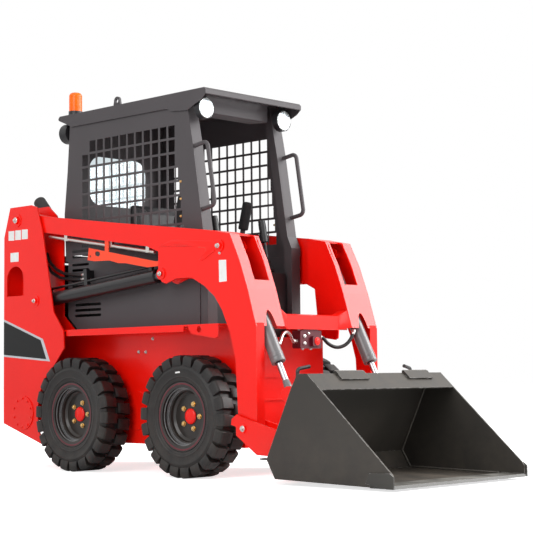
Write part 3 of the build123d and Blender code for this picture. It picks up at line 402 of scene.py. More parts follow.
def makeSmoothFace(name, colour, rough, glow, transmission, coat):
    tree, shader, place, height, base = newMaterial(name, colour, 60, 20, 0.06)
    wire(tree, shader, {
        "Base Color": base,
        "Roughness": rough,
        "Transmission Weight": transmission,
        # painted glow: the face gives off light of its own colour though nothing in it is lit
        "Emission Color": tone(*colour),
        "Emission Strength": glow,
        "Coat Weight": coat,
        "Coat Roughness": 0.06,
        "Specular IOR Level": 0.3,
    })


for make, table in ((makePaint, paints), (makeBareMetal, bareMetals), (makeRubber, rubbers),
                    (makeSmoothFace, smoothFaces)):
    for name, row in table.items():
        make(name, *row)
makeLeather("seatCover", (38, 37, 40))
makeGlass("pane", (225, 236, 240))
makeGlass("clearLens", (244, 248, 250))

wheelPlaces = [f"{axle}_{hand}" for axle, way in axles for hand, sign in hands]
wearing = {
    # finish: CAD nodes that keep their own shape
    "redPaint": ("lower_frame", "counterweight", "tower_right", "tower_left", "fenders", "arm_right",
                 "arm_left", "cross_member", "coupler"),
    "lockPaint": ("lock_bar",),
    "cabPaint": ("side_panels", "engine_hood", "cab_side_right", "cab_side_left", "front_posts", "cab_roof",
                 "cab_rear", "cab_floor", "lap_brackets", "grab_handles", "rear_door"),
    "bucketPaint": ("bucket",),
    "edgeSteel": ("cutting_edge",),
    "rimPaint": [f"wheel_{place}" for place in wheelPlaces],
    "tyreRubber": [f"tyre_{place}" for place in wheelPlaces],
    "barrelPaint": ("lift_barrels", "latch_levers"),
    "greyPaint": ("tilt_barrels",),
    "valvePaint": ("valve_block",),
    "engineIron": ("engine_block", "exhaust"),
    "rodChrome": ("lift_rods", "tilt_rods"),
    "pipeMetal": ("arm_pipes",),
    "gripPlastic": ("consoles", "beacon_base", "lamp_housings", "control_levers"),
    "pane": ("rear_glass",),
    "clearLens": ("lamp_lenses",),
    "redLens": ("tail_lamps",),
    "hoseRubber": ("lift_hoses", "tilt_hoses"),
    "amberLens": ("beacon_lens",),
    "seatCover": ("seat",),
    "padFoam": ("lap_bar",),
}


def dress(name, obj):
    if not obj.material_slots:
        obj.data.materials.append(finish[name])
    for slot in obj.material_slots:
        slot.material = finish[name]


for name, members in wearing.items():
    for member in members:
        dress(name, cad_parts[member])

print("mesh tools")


def at(x, y, z, axis=(0, 0, 1), side=None):
    # a place in machine millimetres whose own z runs along the axis
    up = Vector(axis).normalized()
    across = Vector(side) if side else up.orthogonal()
    across = (across - up * across.dot(up)).normalized()
    turn = Matrix((across, up.cross(across), up)).transposed().to_4x4()
    return Matrix.Translation(spot(x, y, z)) @ turn @ Matrix.Scale(0.001, 4)


def upright(y, sign=1):
    # x along the machine, y upwards; its own z runs sideways from this y on
    turn = Matrix(((1, 0, 0, 0), (0, 0, sign, 0), (0, 1, 0, 0), (0, 0, 0, 1)))
    return Matrix.Translation(spot(0, y, 0)) @ turn @ Matrix.Scale(0.001, 4)


def ringOf(radius, count=6):
    return [(radius * math.cos(math.tau * i / count), radius * math.sin(math.tau * i / count))
            for i in range(count)]


def turned(bm, place, profile, steps=48, slot=0, closed=False):
    # a profile of (radius, height) turned about the place's z
    rings = []
    for radius, height in profile:
        around = ringOf(radius, steps) if radius else [(0, 0)]
        rings.append([bm.verts.new(place @ Vector((x, y, height))) for x, y in around])
    pairs = list(zip(rings, rings[1:])) + ([(rings[-1], rings[0])] if closed else [])
    for low, high in pairs:
        for i in range(steps):
            j = (i + 1) % steps
            corners = [low[i % len(low)], low[j % len(low)], high[j % len(high)], high[i % len(high)]]
            bm.faces.new(list(dict.fromkeys(corners))).material_index = slot


def wall(bm, low, high):
    # the faces between two rings of corners
    around = zip(low, low[1:] + low[:1], high[1:] + high[:1], high)
    return [bm.faces.new(corners) for corners in around]


def prism(bm, place, outline, depth, slot=0, bevel=0.0):
    # an outline in the place's x and y, carried along its z
    low = [bm.verts.new(place @ Vector((x, y, 0))) for x, y in outline]
    high = [bm.verts.new(place @ Vector((x, y, depth))) for x, y in outline]
    faces = [bm.faces.new(low), bm.faces.new(high)] + wall(bm, low, high)
    for face in faces:
        face.material_index = slot
    if bevel:
        edges = list({edge for face in faces for edge in face.edges})
        bmesh.ops.bevel(bm, geom=edges, offset=bevel / 1000, segments=2, profile=0.5,
                        affect="EDGES", material=slot)


def rounded(points, radius, steps=8):
    # the points, with an arc in place of each bend
    corners = [Vector(p) for p in points]
    path = [corners[0]]
    for before, here, after in zip(corners, corners[1:], corners[2:]):
        back, ahead = (before - here).normalized(), (after - here).normalized()
        half = back.angle(ahead) / 2
        if half > math.radians(89):
            path.append(here)
            continue
        trim = min(radius / math.tan(half), (before - here).length * 0.49, (after - here).length * 0.49)
        bend = trim * math.tan(half)
        centre = here + (back + ahead).normalized() * (bend / math.sin(half))
        start, end = here + back * trim - centre, here + ahead * trim - centre
        path += [centre + start.slerp(end, i / steps).normalized() * bend for i in range(steps + 1)]
    return path + [corners[-1]]


def even(path, step):
    # the same path in equal steps
    lengths = [(b - a).length for a, b in zip(path, path[1:])]
    total = sum(lengths)
    count = max(2, round(total / step))
    result, index, passed = [path[0]], 0, 0.0
    for k in range(1, count):
        want = total * k / count
        while passed + lengths[index] < want:
            passed += lengths[index]
            index += 1
        result.append(path[index].lerp(path[index + 1], (want - passed) / lengths[index]))
    return result + [path[-1]]


def tube(bm, path, radius, sides=16, slot=0):
    # sweeps a ring along a path in machine millimetres; radius may be a list, one for each point
    path = [Vector(p) for p in path]
    radii = radius if isinstance(radius, list) else [radius] * len(path)
    along = [(b - a).normalized() for a, b in zip(path, path[1:])]
    headings = [along[0]] + [(a + b).normalized() for a, b in zip(along, along[1:])] + [along[-1]]
    across = headings[0].orthogonal().normalized()
    rings = []
    for point, heading, r in zip(path, headings, radii):
        across = (across - heading * across.dot(heading)).normalized()
        other = heading.cross(across)
        rings.append([bm.verts.new(spot(*(point + across * u + other * v))) for u, v in ringOf(r, sides)])
    faces = [bm.faces.new(rings[0]), bm.faces.new(rings[-1])]
    for low, high in zip(rings, rings[1:]):
        faces += wall(bm, low, high)
    for face in faces:
        face.material_index = slot


def meshOf(name, bm):
    bmesh.ops.recalc_face_normals(bm, faces=bm.faces)
    mesh = bpy.data.meshes.new(name)
    bm.to_mesh(mesh)
    bm.free()
    return mesh


def evaluated(obj):
    # the object's mesh with its modifiers applied
    return bpy.data.meshes.new_from_object(obj.evaluated_get(bpy.context.evaluated_depsgraph_get()))


def bake(obj):
    mesh = evaluated(obj)
    obj.modifiers.clear()
    obj.data = mesh


def addPiece(name, mesh, body, sharp):
    mesh.shade_smooth()
    mesh.set_sharp_from_angle(angle=math.radians(sharp))
    obj = newObject(name, mesh)
    if body:
        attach(obj, body)
    return obj


def settle(name, bm, materials, body=None, sharp=35):
    mesh = meshOf(name, bm)
    for material in materials:
        mesh.materials.append(finish[material])
    return addPiece(name, mesh, body, sharp)


def makeScatterTree():
    # one copy of a piece at each point, turned by the point's own "turn" angles
    tree = bpy.data.node_groups.new("scatter", "GeometryNodeTree")
    sockets = {}
    tree.interface.new_socket("Geometry", in_out="INPUT", socket_type="NodeSocketGeometry")
    for label, kind in (("Piece", "Object"), ("Finish", "Material")):
        socket = tree.interface.new_socket(label, in_out="INPUT", socket_type="NodeSocket" + kind)
        sockets[label] = socket.identifier
    tree.interface.new_socket("Geometry", in_out="OUTPUT", socket_type="NodeSocketGeometry")
    given = tree.nodes.new("NodeGroupInput").outputs
    piece = join(tree, "GeometryNodeObjectInfo", {"Object": given["Piece"]})
    turn = join(tree, "GeometryNodeInputNamedAttribute", {"Name": "turn"}, data_type="FLOAT_VECTOR")
    rotation = join(tree, "FunctionNodeEulerToRotation", {0: turn.outputs[0]})
    copies = join(tree, "GeometryNodeInstanceOnPoints",
                  {"Points": given["Geometry"], "Instance": piece.outputs["Geometry"],
                   "Rotation": rotation.outputs[0]})
    real = join(tree, "GeometryNodeRealizeInstances", {0: copies.outputs[0]})
    final = join(tree, "GeometryNodeSetMaterial", {"Geometry": real.outputs[0], "Material": given["Finish"]})
    tree.links.new(final.outputs[0], tree.nodes.new("NodeGroupOutput").inputs[0])
    return tree, sockets


scatterTree, scatterSockets = makeScatterTree()


def scatter(name, seed, places, material, body, sharp=35):
    # seed is a bmesh in metres; a place gives only where it goes and how it is turned
    source = newObject(name + "Seed", meshOf(name + "Seed", seed))
    points = bpy.data.meshes.new(name + "Points")
    points.from_pydata([m.to_translation() for m in places], [], [])
    turns = points.attributes.new("turn", "FLOAT_VECTOR", "POINT")
    for item, m in zip(turns.data, places):
        item.vector = m.to_3x3().normalized().to_euler()
    holder = newObject(name + "Points", points)
    modifier = holder.modifiers.new("scatter", "NODES")
    modifier.node_group = scatterTree
    modifier[scatterSockets["Piece"]] = source
    modifier[scatterSockets["Finish"]] = finish[material]
    mesh = evaluated(holder)
    mesh.name = name
    for spare in (holder, source):
        bpy.data.objects.remove(spare)
    return addPiece(name, mesh, body, sharp)


boltForm = {
    # radius and height over the bolt's size
    "washer": [(0, 0), (1.05, 0), (1.1, 0.06), (1.05, 0.16), (0.7, 0.18), (0, 0.18)],
    "stud": [(0, 0.7), (0.42, 0.7), (0.42, 0.95), (0.36, 1.02), (0, 1.02)],
    "head": 0.92, "headFrom": 0.16, "headTall": 0.6, "bevel": 0.06,
}


def boltSeed(size):
    # a washer, a hexagon head and a short stud end
    s = boltForm
    bm = bmesh.new()
    own = Matrix.Scale(size / 1000, 4)
    turned(bm, own, s["washer"], 20)
    prism(bm, own @ Matrix.Translation((0, 0, s["headFrom"])), ringOf(s["head"]), s["headTall"],
          bevel=size * s["bevel"])
    turned(bm, own, s["stud"], 16)
    return bm


def turnedPiece(name, place, profile, steps, material, body, sharp, closed=False):
    bm = bmesh.new()
    turned(bm, place, profile, steps, closed=closed)
    return settle(name, bm, [material], body, sharp)


print("tyres")
tyre = {
    "radius": 306, "mid": 401, "axleX": 440, "lugs": 22, "firstLug": 95.81,
    # radius and distance from the middle, from the bead to the tread
    "side": [(154.8, 0), (154.8, 63.4), (160, 69.6), (174.5, 71.6), (176.5, 77), (181, 80), (192, 82),
             (195, 84.6), (199, 85.4), (202, 84), (212, 84.6), (230, 86.2), (235, 88.2), (240, 88.2),
             (243, 86.4), (251, 84.4), (258, 80), (270, 72), (281, 63), (283.5, 56), (283.5, 7), (280.5, 3),
             (280.5, 0)],
    # radius, distance from the middle, and the edges either way round the tread
    "lug": [(250, 76, -31, 31), (253, 85, -31, 31), (260, 88.4, -31, 31), (291, 88.4, -31, 31),
            (301, 84, -30, 30), (306, 76, -29.5, 29.5), (306, 50, -29.5, 29.5), (306, 41, -29.5, 21),
            (306, 14, -33, 19), (301, 5, -33, 19), (279, 4, -35, 21), (279, 60, -32, 32)],
    "lugSteps": 5, "lugBevel": 0.0022,
    "roundFrom": 300, "sag": 0.02,  # past this radius its points lie on a circle, the others sag a little
}


def wheelAt(way, sign):
    # the middle of a wheel; its own z looks outwards
    return at(way * tyre["axleX"], sign * tyre["mid"], tyre["radius"], (0, sign, 0), (1, 0, 0))


def lugBlock(bm, s, side, turn):
    columns = []
    for k in range(s["lugSteps"] + 1):
        column = []
        for radius, across, left, right in s["lug"]:
            x = (left + (right - left) * k / s["lugSteps"]) * side
            deep = math.sqrt(radius ** 2 - x ** 2) if radius > s["roundFrom"] else radius - abs(x) * s["sag"]
            p = (deep * math.cos(turn) - x * math.sin(turn), deep * math.sin(turn) + x * math.cos(turn),
                 across * side)
            column.append(bm.verts.new(Vector(p) * 0.001))
        columns.append(column)
    ends = [bm.faces.new(columns[0]), bm.faces.new(columns[-1])]
    for first, second in zip(columns, columns[1:]):
        wall(bm, first, second)
    edges = [edge for face in ends for edge in face.edges]
    bmesh.ops.bevel(bm, geom=edges, offset=s["lugBevel"], segments=1, profile=0.5, affect="EDGES")


def makeTyre(corner, place, s):
    body = f"wheel_{corner}"
    profile = [(r, -w) for r, w in reversed(s["side"])] + s["side"][1:-1]
    carcass = turnedPiece(f"tyreCarcass_{corner}", place, profile, 96, "tyreRubber", body,
                          28, True)
    pitch = math.tau / s["lugs"]
    seed = bmesh.new()
    lugBlock(seed, s, 1, 0)
    lugBlock(seed, s, -1, pitch / 2)
    turns = [place @ Matrix.Rotation(math.radians(s["firstLug"]) + i * pitch, 4, "Z")
             for i in range(s["lugs"])]
    scatter(f"tyreLugs_{corner}", seed, turns, "tyreRubber", body, 30)
    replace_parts(carcass, f"tyre_{corner}")


print("wheels")
wheel = {
    "bolts": 5, "boltCircle": 64, "boltSize": 12.65, "face": 13,
    "cap": [(0, 12), (39, 12), (40, 16), (37, 21), (30, 23.5), (0, 25)],
    "rings": [(143.6, 62, 2.4), (142.6, 44, 1.8), (137, 38.4, 2.0)],  # radius, height, half the width
    "ringTall": 2.4, "ringFoot": 6,
    "line": [(160.5, 70), (160.5, 76.2), (163.5, 77.2), (166.5, 77.2), (169, 76.4), (169, 71)],
}


def makeWheelTrim(corner, place, s):
    body = f"wheel_{corner}"
    first = Matrix.Translation((s["boltCircle"], 0, s["face"]))
    turns = [place @ Matrix.Rotation(math.tau * i / s["bolts"], 4, "Z") @ first for i in range(s["bolts"])]
    scatter(f"wheelBolts_{corner}", boltSeed(s["boltSize"]), turns, "zincGold", body)
    turnedPiece(f"hubCap_{corner}", place, s["cap"], 40, "redPaint", body, 50)
    # raised rings on the rim, painted a lighter grey than the rim itself as a painted highlight
    bm = bmesh.new()
    for r, height, wide in s["rings"]:
        crest, foot = r - s["ringTall"], r + s["ringFoot"]
        turned(bm, place, [(r, height - wide), (crest, height - wide * 0.6), (crest, height + wide * 0.6),
                           (r, height + wide), (foot, height + wide), (foot, height - wide)], 72, closed=True)
    settle(f"rimRings_{corner}", bm, ["greyPaint"], body, 50)
    turnedPiece(f"rimLine_{corner}", place, s["line"], 96, "valvePaint", body, 50, True)


for axle, way in axles:
    for hand, sign in hands:
        makeTyre(f"{axle}_{hand}", wheelAt(way, sign), tyre)
        makeWheelTrim(f"{axle}_{hand}", wheelAt(way, sign), wheel)

print("pins and bolts")
pins = {
    # body, x, z, face it stands on, ring radius, bolt size
    "armPivot": ("chassis", -949, 1398, 478, 17, 11),
    "liftBase": ("chassis", -774, 933, 478, 12, 9),
    "tiltPin": ("loader_arms", 690, 1145, 463, 12.5, 11),
    "tiltKeeper": ("loader_arms", 690, 1109, 449, 0, 7),
    "rodPin": ("loader_arms", 261, 1030, 463, 12.5, 9),
    "footPin": ("loader_arms", 864, 254, 475, 15, 10),
}


def makePins(s):
    for body in ("chassis", "loader_arms"):
        rows = [row[1:] for row in s.values() if row[0] == body]
        for hand, sign in hands:
            bm = bmesh.new()
            for x, z, y, ring, bolt in rows:
                if ring:
                    turned(bm, at(x, sign * y, z, (0, sign, 0)),
                           [(0, -3), (ring, -3), (ring, 1.2), (ring - 1.4, 2.6), (0, 2.6)], 32)
            settle(f"pinEnds_{body}_{hand}", bm, ["fittingSteel"], body, 40)
            for size in sorted({row[-1] for row in rows}):
                places = [at(x, sign * (y + (2.2 if ring else -0.4)), z, (0, sign, 0), (1, 0, 0.3))
                          for x, z, y, ring, bolt in rows if bolt == size]
                scatter(f"pinBolts{size}_{body}_{hand}", boltSeed(size), places, "fittingSteel", body)


makePins(pins)

frameBolts = {
    # finish, size, then x, |y|, z of each, all on faces that look outwards
    "caseBolts": ("fittingSteel", 9, [(-8, 270, 707), (-121, 270, 638), (-64, 270, 637)]),
    "coverBolts": ("redPaint", 7, [(-887 + u, 470, 309 + v) for u, v in ringOf(80, 20)[1::2]]),
    "portBolts": ("redPaint", 6, [(-136 + dx, 276, 326 + dz) for dx in (-56, 56) for dz in (-86, 0, 86)]),
}


def makeFrameBolts(s):
    for name, (material, size, spots) in s.items():
        for hand, sign in hands:
            places = [at(x, sign * (y - 0.3), z, (0, sign, 0), (1, 0, 0.4)) for x, y, z in spots]
            scatter(f"{name}_{hand}", boltSeed(size), places, material, "chassis")


makeFrameBolts(frameBolts)

print("blank plates and stickers")
towerSquare = [(-1030, 1288), (-975, 1286), (-975, 1341), (-1030, 1343)]
stickers = {
    # outline in x and z, the face it lies on, thickness, finish, body
    "panelEdge": ([(-1071.5, 839), (-707, 719), (-643, 594), (-1071.5, 626)], 464, 0.5,
                  "labelSilver", "chassis"),
    "panelFace": ([(-1071.5, 826), (-728, 713), (-676, 607), (-1071.5, 637)], 464, 1.0,
                  "labelBlack", "chassis"),
    **{f"towerSquare{i}": ([(x + 63 * i, z) for x, z in towerSquare], 464, 0.5, "labelWhite", "chassis")
       for i in range(3)},
    "towerLabel": ([(-1011, 1164), (-934, 1164), (-934, 1216), (-1011, 1216)], 464, 0.5,
                   "labelWhite", "chassis"),
    "elbowLabel": ([(686, 966), (739, 968), (736, 1073), (684, 1075)], 449, 0.5,
                   "labelWhite", "loader_arms"),
}


def sideSheet(name, outline, y, thick, material, body, sign, bevel=0.0, slotName=None, sharp=30):
    # a sheet on a face that looks outwards
    bm = bmesh.new()
    prism(bm, upright(sign * y, sign), outline, thick, 0, bevel)
    settle(name, bm, [material], body, sharp)


for hand, sign in hands:
    for name, row in stickers.items():
        sideSheet(f"{name}_{hand}", *row, sign)

print("raised pressing at each elbow")
pressing = {
    "outline": [(236, 1169), (344, 1199), (640, 1172), (668, 1158), (655, 1120), (560, 1074), (545, 1084),
                (598, 1130), (590, 1144), (470, 1156)],
    "y": 448.5, "thick": 4.5, "bevel": 2.6,
}
for hand, sign in hands:
    sideSheet(f"elbowPressing_{hand}", pressing["outline"], pressing["y"], pressing["thick"], "redPaint",
              "loader_arms", sign, pressing["bevel"], "red_paint", 60)

print("hoses and their fittings")
hoses = {
    "radius": 9.0, "groove": 0.9, "tiltBend": 150, "liftBend": 60, "liftY": 362,
    "tilt": {
        "right": [(928, -298, 656), (926, -272, 664), (910, -240, 706), (886, -184, 722), (864, -134, 708),
                  (856, -108, 676), (856, -78.3, 676)],
        "left": [(856, 78.3, 700), (856, 112, 700), (864, 152, 660), (882, 200, 642), (904, 246, 660),
                 (914, 276, 698), (914, 294, 738)],
    },
    "lift": [
        [(-838, 1204), (-816, 1150), (-764, 1098), (-690, 1064), (-598, 1048), (-500, 1041.3),
         (-407.7, 1050)],
        [(-808, 1208), (-776, 1154), (-718, 1110), (-648, 1084), (-576, 1074), (-490, 1066.5),
         (-410, 1074)],
    ],
    "sleeve": [(0, 0), (9.2, 0), (10.6, 1.5), (10.6, 9), (9.8, 10.5), (10.8, 12), (10.8, 26), (9.6, 27.5),
               (0, 27.5)],
    "stem": [(0, 0), (9.8, 0), (10.4, 2), (10.4, 30), (9.8, 32), (0, 32)],
    "nut": 11.4, "nutLong": 8, "nutBevel": 0.8,
}


def fitting(bm, start, towards, s):
    # a crimped sleeve and a hexagon nut at a hose's end
    place = at(*start, Vector(towards) - Vector(start))
    turned(bm, place, s["sleeve"], 20, 1)
    prism(bm, place, ringOf(s["nut"]), s["nutLong"], 1, s["nutBevel"])


def makeHoses(s):
    for hand, sign in hands:
        right = hand == "right"  # this tilt hose is a bare steel braid
        points = s["tilt"][hand]
        path = even(rounded(points, s["tiltBend"]), 4)
        radii = [s["radius"] - (s["groove"] if right and i % 3 == 0 else 0) for i in range(len(path))]
        bm = bmesh.new()
        tube(bm, path, radii, 16, 1 if right else 0)
        fitting(bm, points[0], points[1], s)
        fitting(bm, points[-1], points[-2], s)
        hose = settle(f"tiltHose_{hand}", bm, ["hoseRubber", "fittingSteel"], None, 50)
        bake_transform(hose)
        if right:
            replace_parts(hose, "tilt_hoses")
        for number, run in enumerate(s["lift"]):
            points = [(x, sign * s["liftY"], z) for x, z in run]
            last, before = Vector(points[-1]), Vector(points[-2])
            bm = bmesh.new()
            tube(bm, even(rounded(points, s["liftBend"]), 9), s["radius"], 16, 0)
            fitting(bm, last, before, s)
            turned(bm, at(*last.lerp(before, 0.55), before - last), s["stem"], 18, 1)
            hose = settle(f"liftHose{number}_{hand}", bm, ["hoseRubber", "fittingSteel"], None,
                          50)
            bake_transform(hose)
            if right and number == 0:
                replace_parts(hose, "lift_hoses")


makeHoses(hoses)

print("lamps and beacon")
lamps = {
    # lens centre x, |y|, z, the way it looks, glass radius, depth of the glass
    "front": (430.3, 290, 1884, 1, 52, 9.6),
    "rear": (-696.2, 303, 1880, -1, 51, 6.6),
}
lightCell = {
    "bowl": [(0, 0.4), (2.4, 0.6), (4.9, 3.0), (5.4, 3.0), (5.4, 0), (0, 0)],
    "dome": [(0, 0.3), (2.2, 0.5), (2.0, 1.8), (1.1, 2.6), (0, 2.9)],
    "step": 11.2, "rowStep": 9.7, "rows": 4, "margin": 9, "lift": 0.8,
}


def cellSeed(s):
    # one light cell: a small bowl with a dome in it
    bm = bmesh.new()
    own = Matrix.Scale(0.001, 4)
    turned(bm, own, s["bowl"], 12)
    turned(bm, own, s["dome"], 8)
    return bm


def makeLamps(s, cell):
    cover, seats, rims = bmesh.new(), bmesh.new(), bmesh.new()
    cells = []
    rows = range(-cell["rows"], cell["rows"] + 1)
    for x, y, z, way, r, deep in s.values():
        for sign in (-1, 1):
            place = at(x, sign * y, z, (way, 0, 0), (0, 1, 0))
            turned(cover, place, [(0, deep - 1.8), (r - 3, deep - 3.4), (r - 1, 0.4), (r, 0.4),
                                  (r, deep - 3.2), (r - 2, deep - 1.2), (0, deep)])
            turned(seats, place, [(0, 0.2), (r - 1.6, 0.2), (r - 1.6, deep - 3.6), (r - 3.6, deep - 4.0),
                                  (r - 5, 0.9), (0, 0.9)])
            turned(rims, place, [(r + 0.4, -3), (r + 4.6, -3), (r + 4.6, 5), (r + 2.6, 7),
                                 (r + 0.4, 6.4)], closed=True)
            for row in rows:
                for column in rows:
                    u, v = (column + (row % 2) / 2) * cell["step"], row * cell["rowStep"]
                    if math.hypot(u, v) < r - cell["margin"]:
                        cells.append(place @ Matrix.Translation((u, v, cell["lift"])))
    glass = settle("lampCovers", cover, ["clearLens"], "chassis", 40)
    settle("lampReflectors", seats, ["fittingSteel"], "chassis", 40)
    scatter("lampCells", cellSeed(cell), cells, "ledFace", "chassis", 40)
    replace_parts(glass, "lamp_lenses")
    settle("lampRims", rims, ["gripPlastic"], "chassis", 40)


makeLamps(lamps, lightCell)

print("seat and lap pads")
padding = {
    "cloth": {"use_pressure": True, "uniform_pressure_force": 4, "quality": 5, "mass": 0.3,
              "tension_stiffness": 22, "compression_stiffness": 22, "bending_stiffness": 0.6},
    "frames": 20, "seamDeep": 0.006, "seamWide": 0.006,
}


def blowUp(obj, s, swell):
    # fills the mesh like a bag and keeps it near where it began
    start = [v.co.copy() for v in obj.data.vertices]
    cloth = obj.modifiers.new("cloth", "CLOTH")
    for key, value in s["cloth"].items():
        setattr(cloth.settings, key, value)
    cloth.settings.effector_weights.gravity = 0
    cloth.point_cache.frame_start = 1
    cloth.point_cache.frame_end = s["frames"]
    for f in range(1, s["frames"] + 1):
        scene.frame_set(f)
    bake(obj)
    scene.frame_set(1)
    for v, home in zip(obj.data.vertices, start):
        moved = v.co - home
        if moved.length > swell:
            v.co = home + moved.normalized() * swell


def softPiece(name, bm, material, body, voxel, swell, seams=()):
    # blows up a remeshed shape, then presses in its seams, each at its own y
    s = padding
    obj = newObject(name, meshOf(name, bm))
    remesh = obj.modifiers.new("remesh", "REMESH")
    remesh.mode = "VOXEL"
    remesh.voxel_size = voxel
    bake(obj)
    blowUp(obj, s, swell)
    for v in obj.data.vertices:
        press = sum(s["seamDeep"] * math.exp(-((v.co.y - y / 1000) / s["seamWide"]) ** 2) for y in seams)
        v.co -= v.normal * press
    smooth = obj.modifiers.new("smooth", "SUBSURF")
    smooth.levels = smooth.render_levels = 1
    bake(obj)
    final = obj.data
    final.name = name
    final.materials.clear()
    final.materials.append(finish[material])
    final.shade_smooth()
    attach(obj, body)


seat = {
    "half": 213, "shellInset": 8, "padInset": 12,
    "shell": [(-208, 881), (166, 881), (190, 900), (188, 912), (-158, 900), (-196, 1100), (-222, 1400),
              (-240, 1446), (-268, 1440), (-262, 1190), (-230, 930)],
    "Cushion": [(-146, 912), (60, 918), (182, 920), (191, 940), (182, 972), (130, 978), (-60, 966),
                (-138, 958), (-156, 936)],
    "Back": [(-160, 972), (-176, 1080), (-200, 1300), (-216, 1405), (-234, 1440), (-248, 1420),
             (-238, 1290), (-212, 1090), (-190, 975)],
    "seams": (-118, 118),
}


def makeSeat(s):
    bm = bmesh.new()
    half = s["half"] - s["shellInset"]
    prism(bm, upright(-half), s["shell"], 2 * half, 0, 5)
    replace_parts(settle("seatShell", bm, ["gripPlastic"], "chassis", 40), "seat")
    half = s["half"] - s["padInset"]
    for name in ("Cushion", "Back"):
        bm = bmesh.new()
        prism(bm, upright(-half), s[name], 2 * half, 0, 9)
        softPiece(f"seat{name}", bm, "seatCover", "chassis", 0.006, 0.007, s["seams"])


makeSeat(seat)

lap = {
    "route": [(-60, 975), (158, 1280), (205, 1456)], "y": 240, "tube": 14, "bend": 60,
    "pad": 28, "padStart": 27, "padLong": 153, "pivot": (-60, 945),
    "hubY": 234, "stubY": 260,
    "hub": [(0, 0), (36, 0), (38, 2), (38, 26), (36, 28), (0, 28)],
    "stub": [(0, 0), (14, 0), (14, 39), (13, 40), (0, 40)],
}


def makeLapBar(s):
    bm = bmesh.new()
    x, z = s["pivot"]
    for sign in (-1, 1):
        tube(bm, rounded([(u, sign * s["y"], v) for u, v in s["route"]], s["bend"]), s["tube"], 20)
        turned(bm, at(x, sign * s["hubY"], z, (0, sign, 0)), s["hub"], 40)
        turned(bm, at(x, sign * s["stubY"], z, (0, sign, 0)), s["stub"], 24)
    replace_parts(settle("lapTubes", bm, ["cabPaint"], "lap_bar", 40), "lap_bar")
    (x0, z0), (x1, z1) = s["route"][1:]
    heading = Vector((x1 - x0, 0, z1 - z0)).normalized()
    for hand, sign in hands:
        bm = bmesh.new()
        first = Vector((x0, sign * s["y"], z0)) + heading * s["padStart"]
        r, long = s["pad"], s["padLong"]
        turned(bm, at(*first, heading), [(0, 0), (r - 5, 0), (r - 1.5, 1.5), (r, 6), (r, long - 6),
                                         (r - 1.5, long - 1.5), (r - 5, long), (0, long)], 32)
        softPiece(f"lapPad_{hand}", bm, "padFoam", "lap_bar", 0.004, 0.002)


makeLapBar(lap)

print("levers")
lever = {
    "y": 178, "base": (423, 1062), "top": (368, 1336),
    "pleats": 9, "pleatStep": 8, "pleatRadius": 30, "pleatTaper": 1.9, "pleatDeep": 5,
    "grip": [(0, 0), (14, 0), (19.5, 6), (20.5, 30), (19, 52), (20.5, 78), (20, 104), (16, 116), (0, 121)],
    "gripAt": 158,
    "button": [(0, 0), (4.5, 0), (4.5, 3), (3.5, 4), (0, 4)],
    "buttonsAt": 279, "buttonSpread": 8,
}


def makeLevers(s):
    (x0, z0), (x1, z1) = s["base"], s["top"]
    heading = Vector((x1 - x0, 0, z1 - z0)).normalized()
    boot = [(0, -4)]
    for i in range(s["pleats"]):
        outer, height = s["pleatRadius"] - i * s["pleatTaper"], i * s["pleatStep"]
        boot += [(outer, height - 4), (outer - s["pleatDeep"], height)]
    boot += [(12, 70), (9, 74), (0, 74)]
    for hand, sign in hands:
        foot = Vector((x0, sign * s["y"], z0))
        top = foot + heading * s["buttonsAt"]
        bm = bmesh.new()
        turned(bm, at(*foot, heading), boot, 28)
        turned(bm, at(*(foot + heading * s["gripAt"]), heading), s["grip"], 28)
        settle(f"leverGrip_{hand}", bm, ["hoseRubber"], "chassis", 30)
        bm = bmesh.new()
        for dy in (-s["buttonSpread"], s["buttonSpread"]):
            turned(bm, at(top.x, top.y + dy, top.z - 2, heading), s["button"], 14)
        settle(f"leverButtons_{hand}", bm, ["amberLens"], "chassis", 40)


makeLevers(lever)

print("cylinders")
tiltCylinder = {
    "top": (690, 1145), "pin": (1060, 417), "y": 342, "radius": 35, "long": 646, "rod": 15,
    "sleeve": [(15.2, 0), (19, 0), (19, 30), (17.5, 32), (17.5, 46), (15.2, 50)], "sleeveFrom": 24,
}


def makeGlands(s):
    r, rod = s["radius"], s["rod"]
    gland = [(r - 6, 0), (r + 0.2, 0), (r + 0.9, 1.5), (r + 0.9, 20), (r + 0.2, 22), (r + 0.2, 24),
             (r + 0.9, 26), (r + 0.9, 44.5), (r - 0.5, 46.4), (rod + 3, 46.6), (rod + 3, 40), (r - 6, 40)]
    wiper = [(rod + 0.4, 0), (rod + 6, 0), (rod + 6.5, 2), (rod + 4, 4), (rod + 0.4, 4.5)]
    for hand, sign in hands:
        top, pin = (Vector((x, sign * s["y"], z)) for x, z in (s["top"], s["pin"]))
        heading = (pin - top).normalized()
        turnedPiece(f"tiltGland_{hand}", at(*(top + heading * (s["long"] - 46)), heading), gland, 48,
                    "greyPaint", "tilt_barrels", 40, True)
        turnedPiece(f"tiltWiper_{hand}", at(*(top + heading * (s["long"] + 0.2)), heading), wiper, 36,
                    "hoseRubber", "tilt_barrels", 40, True)


makeGlands(tiltCylinder)

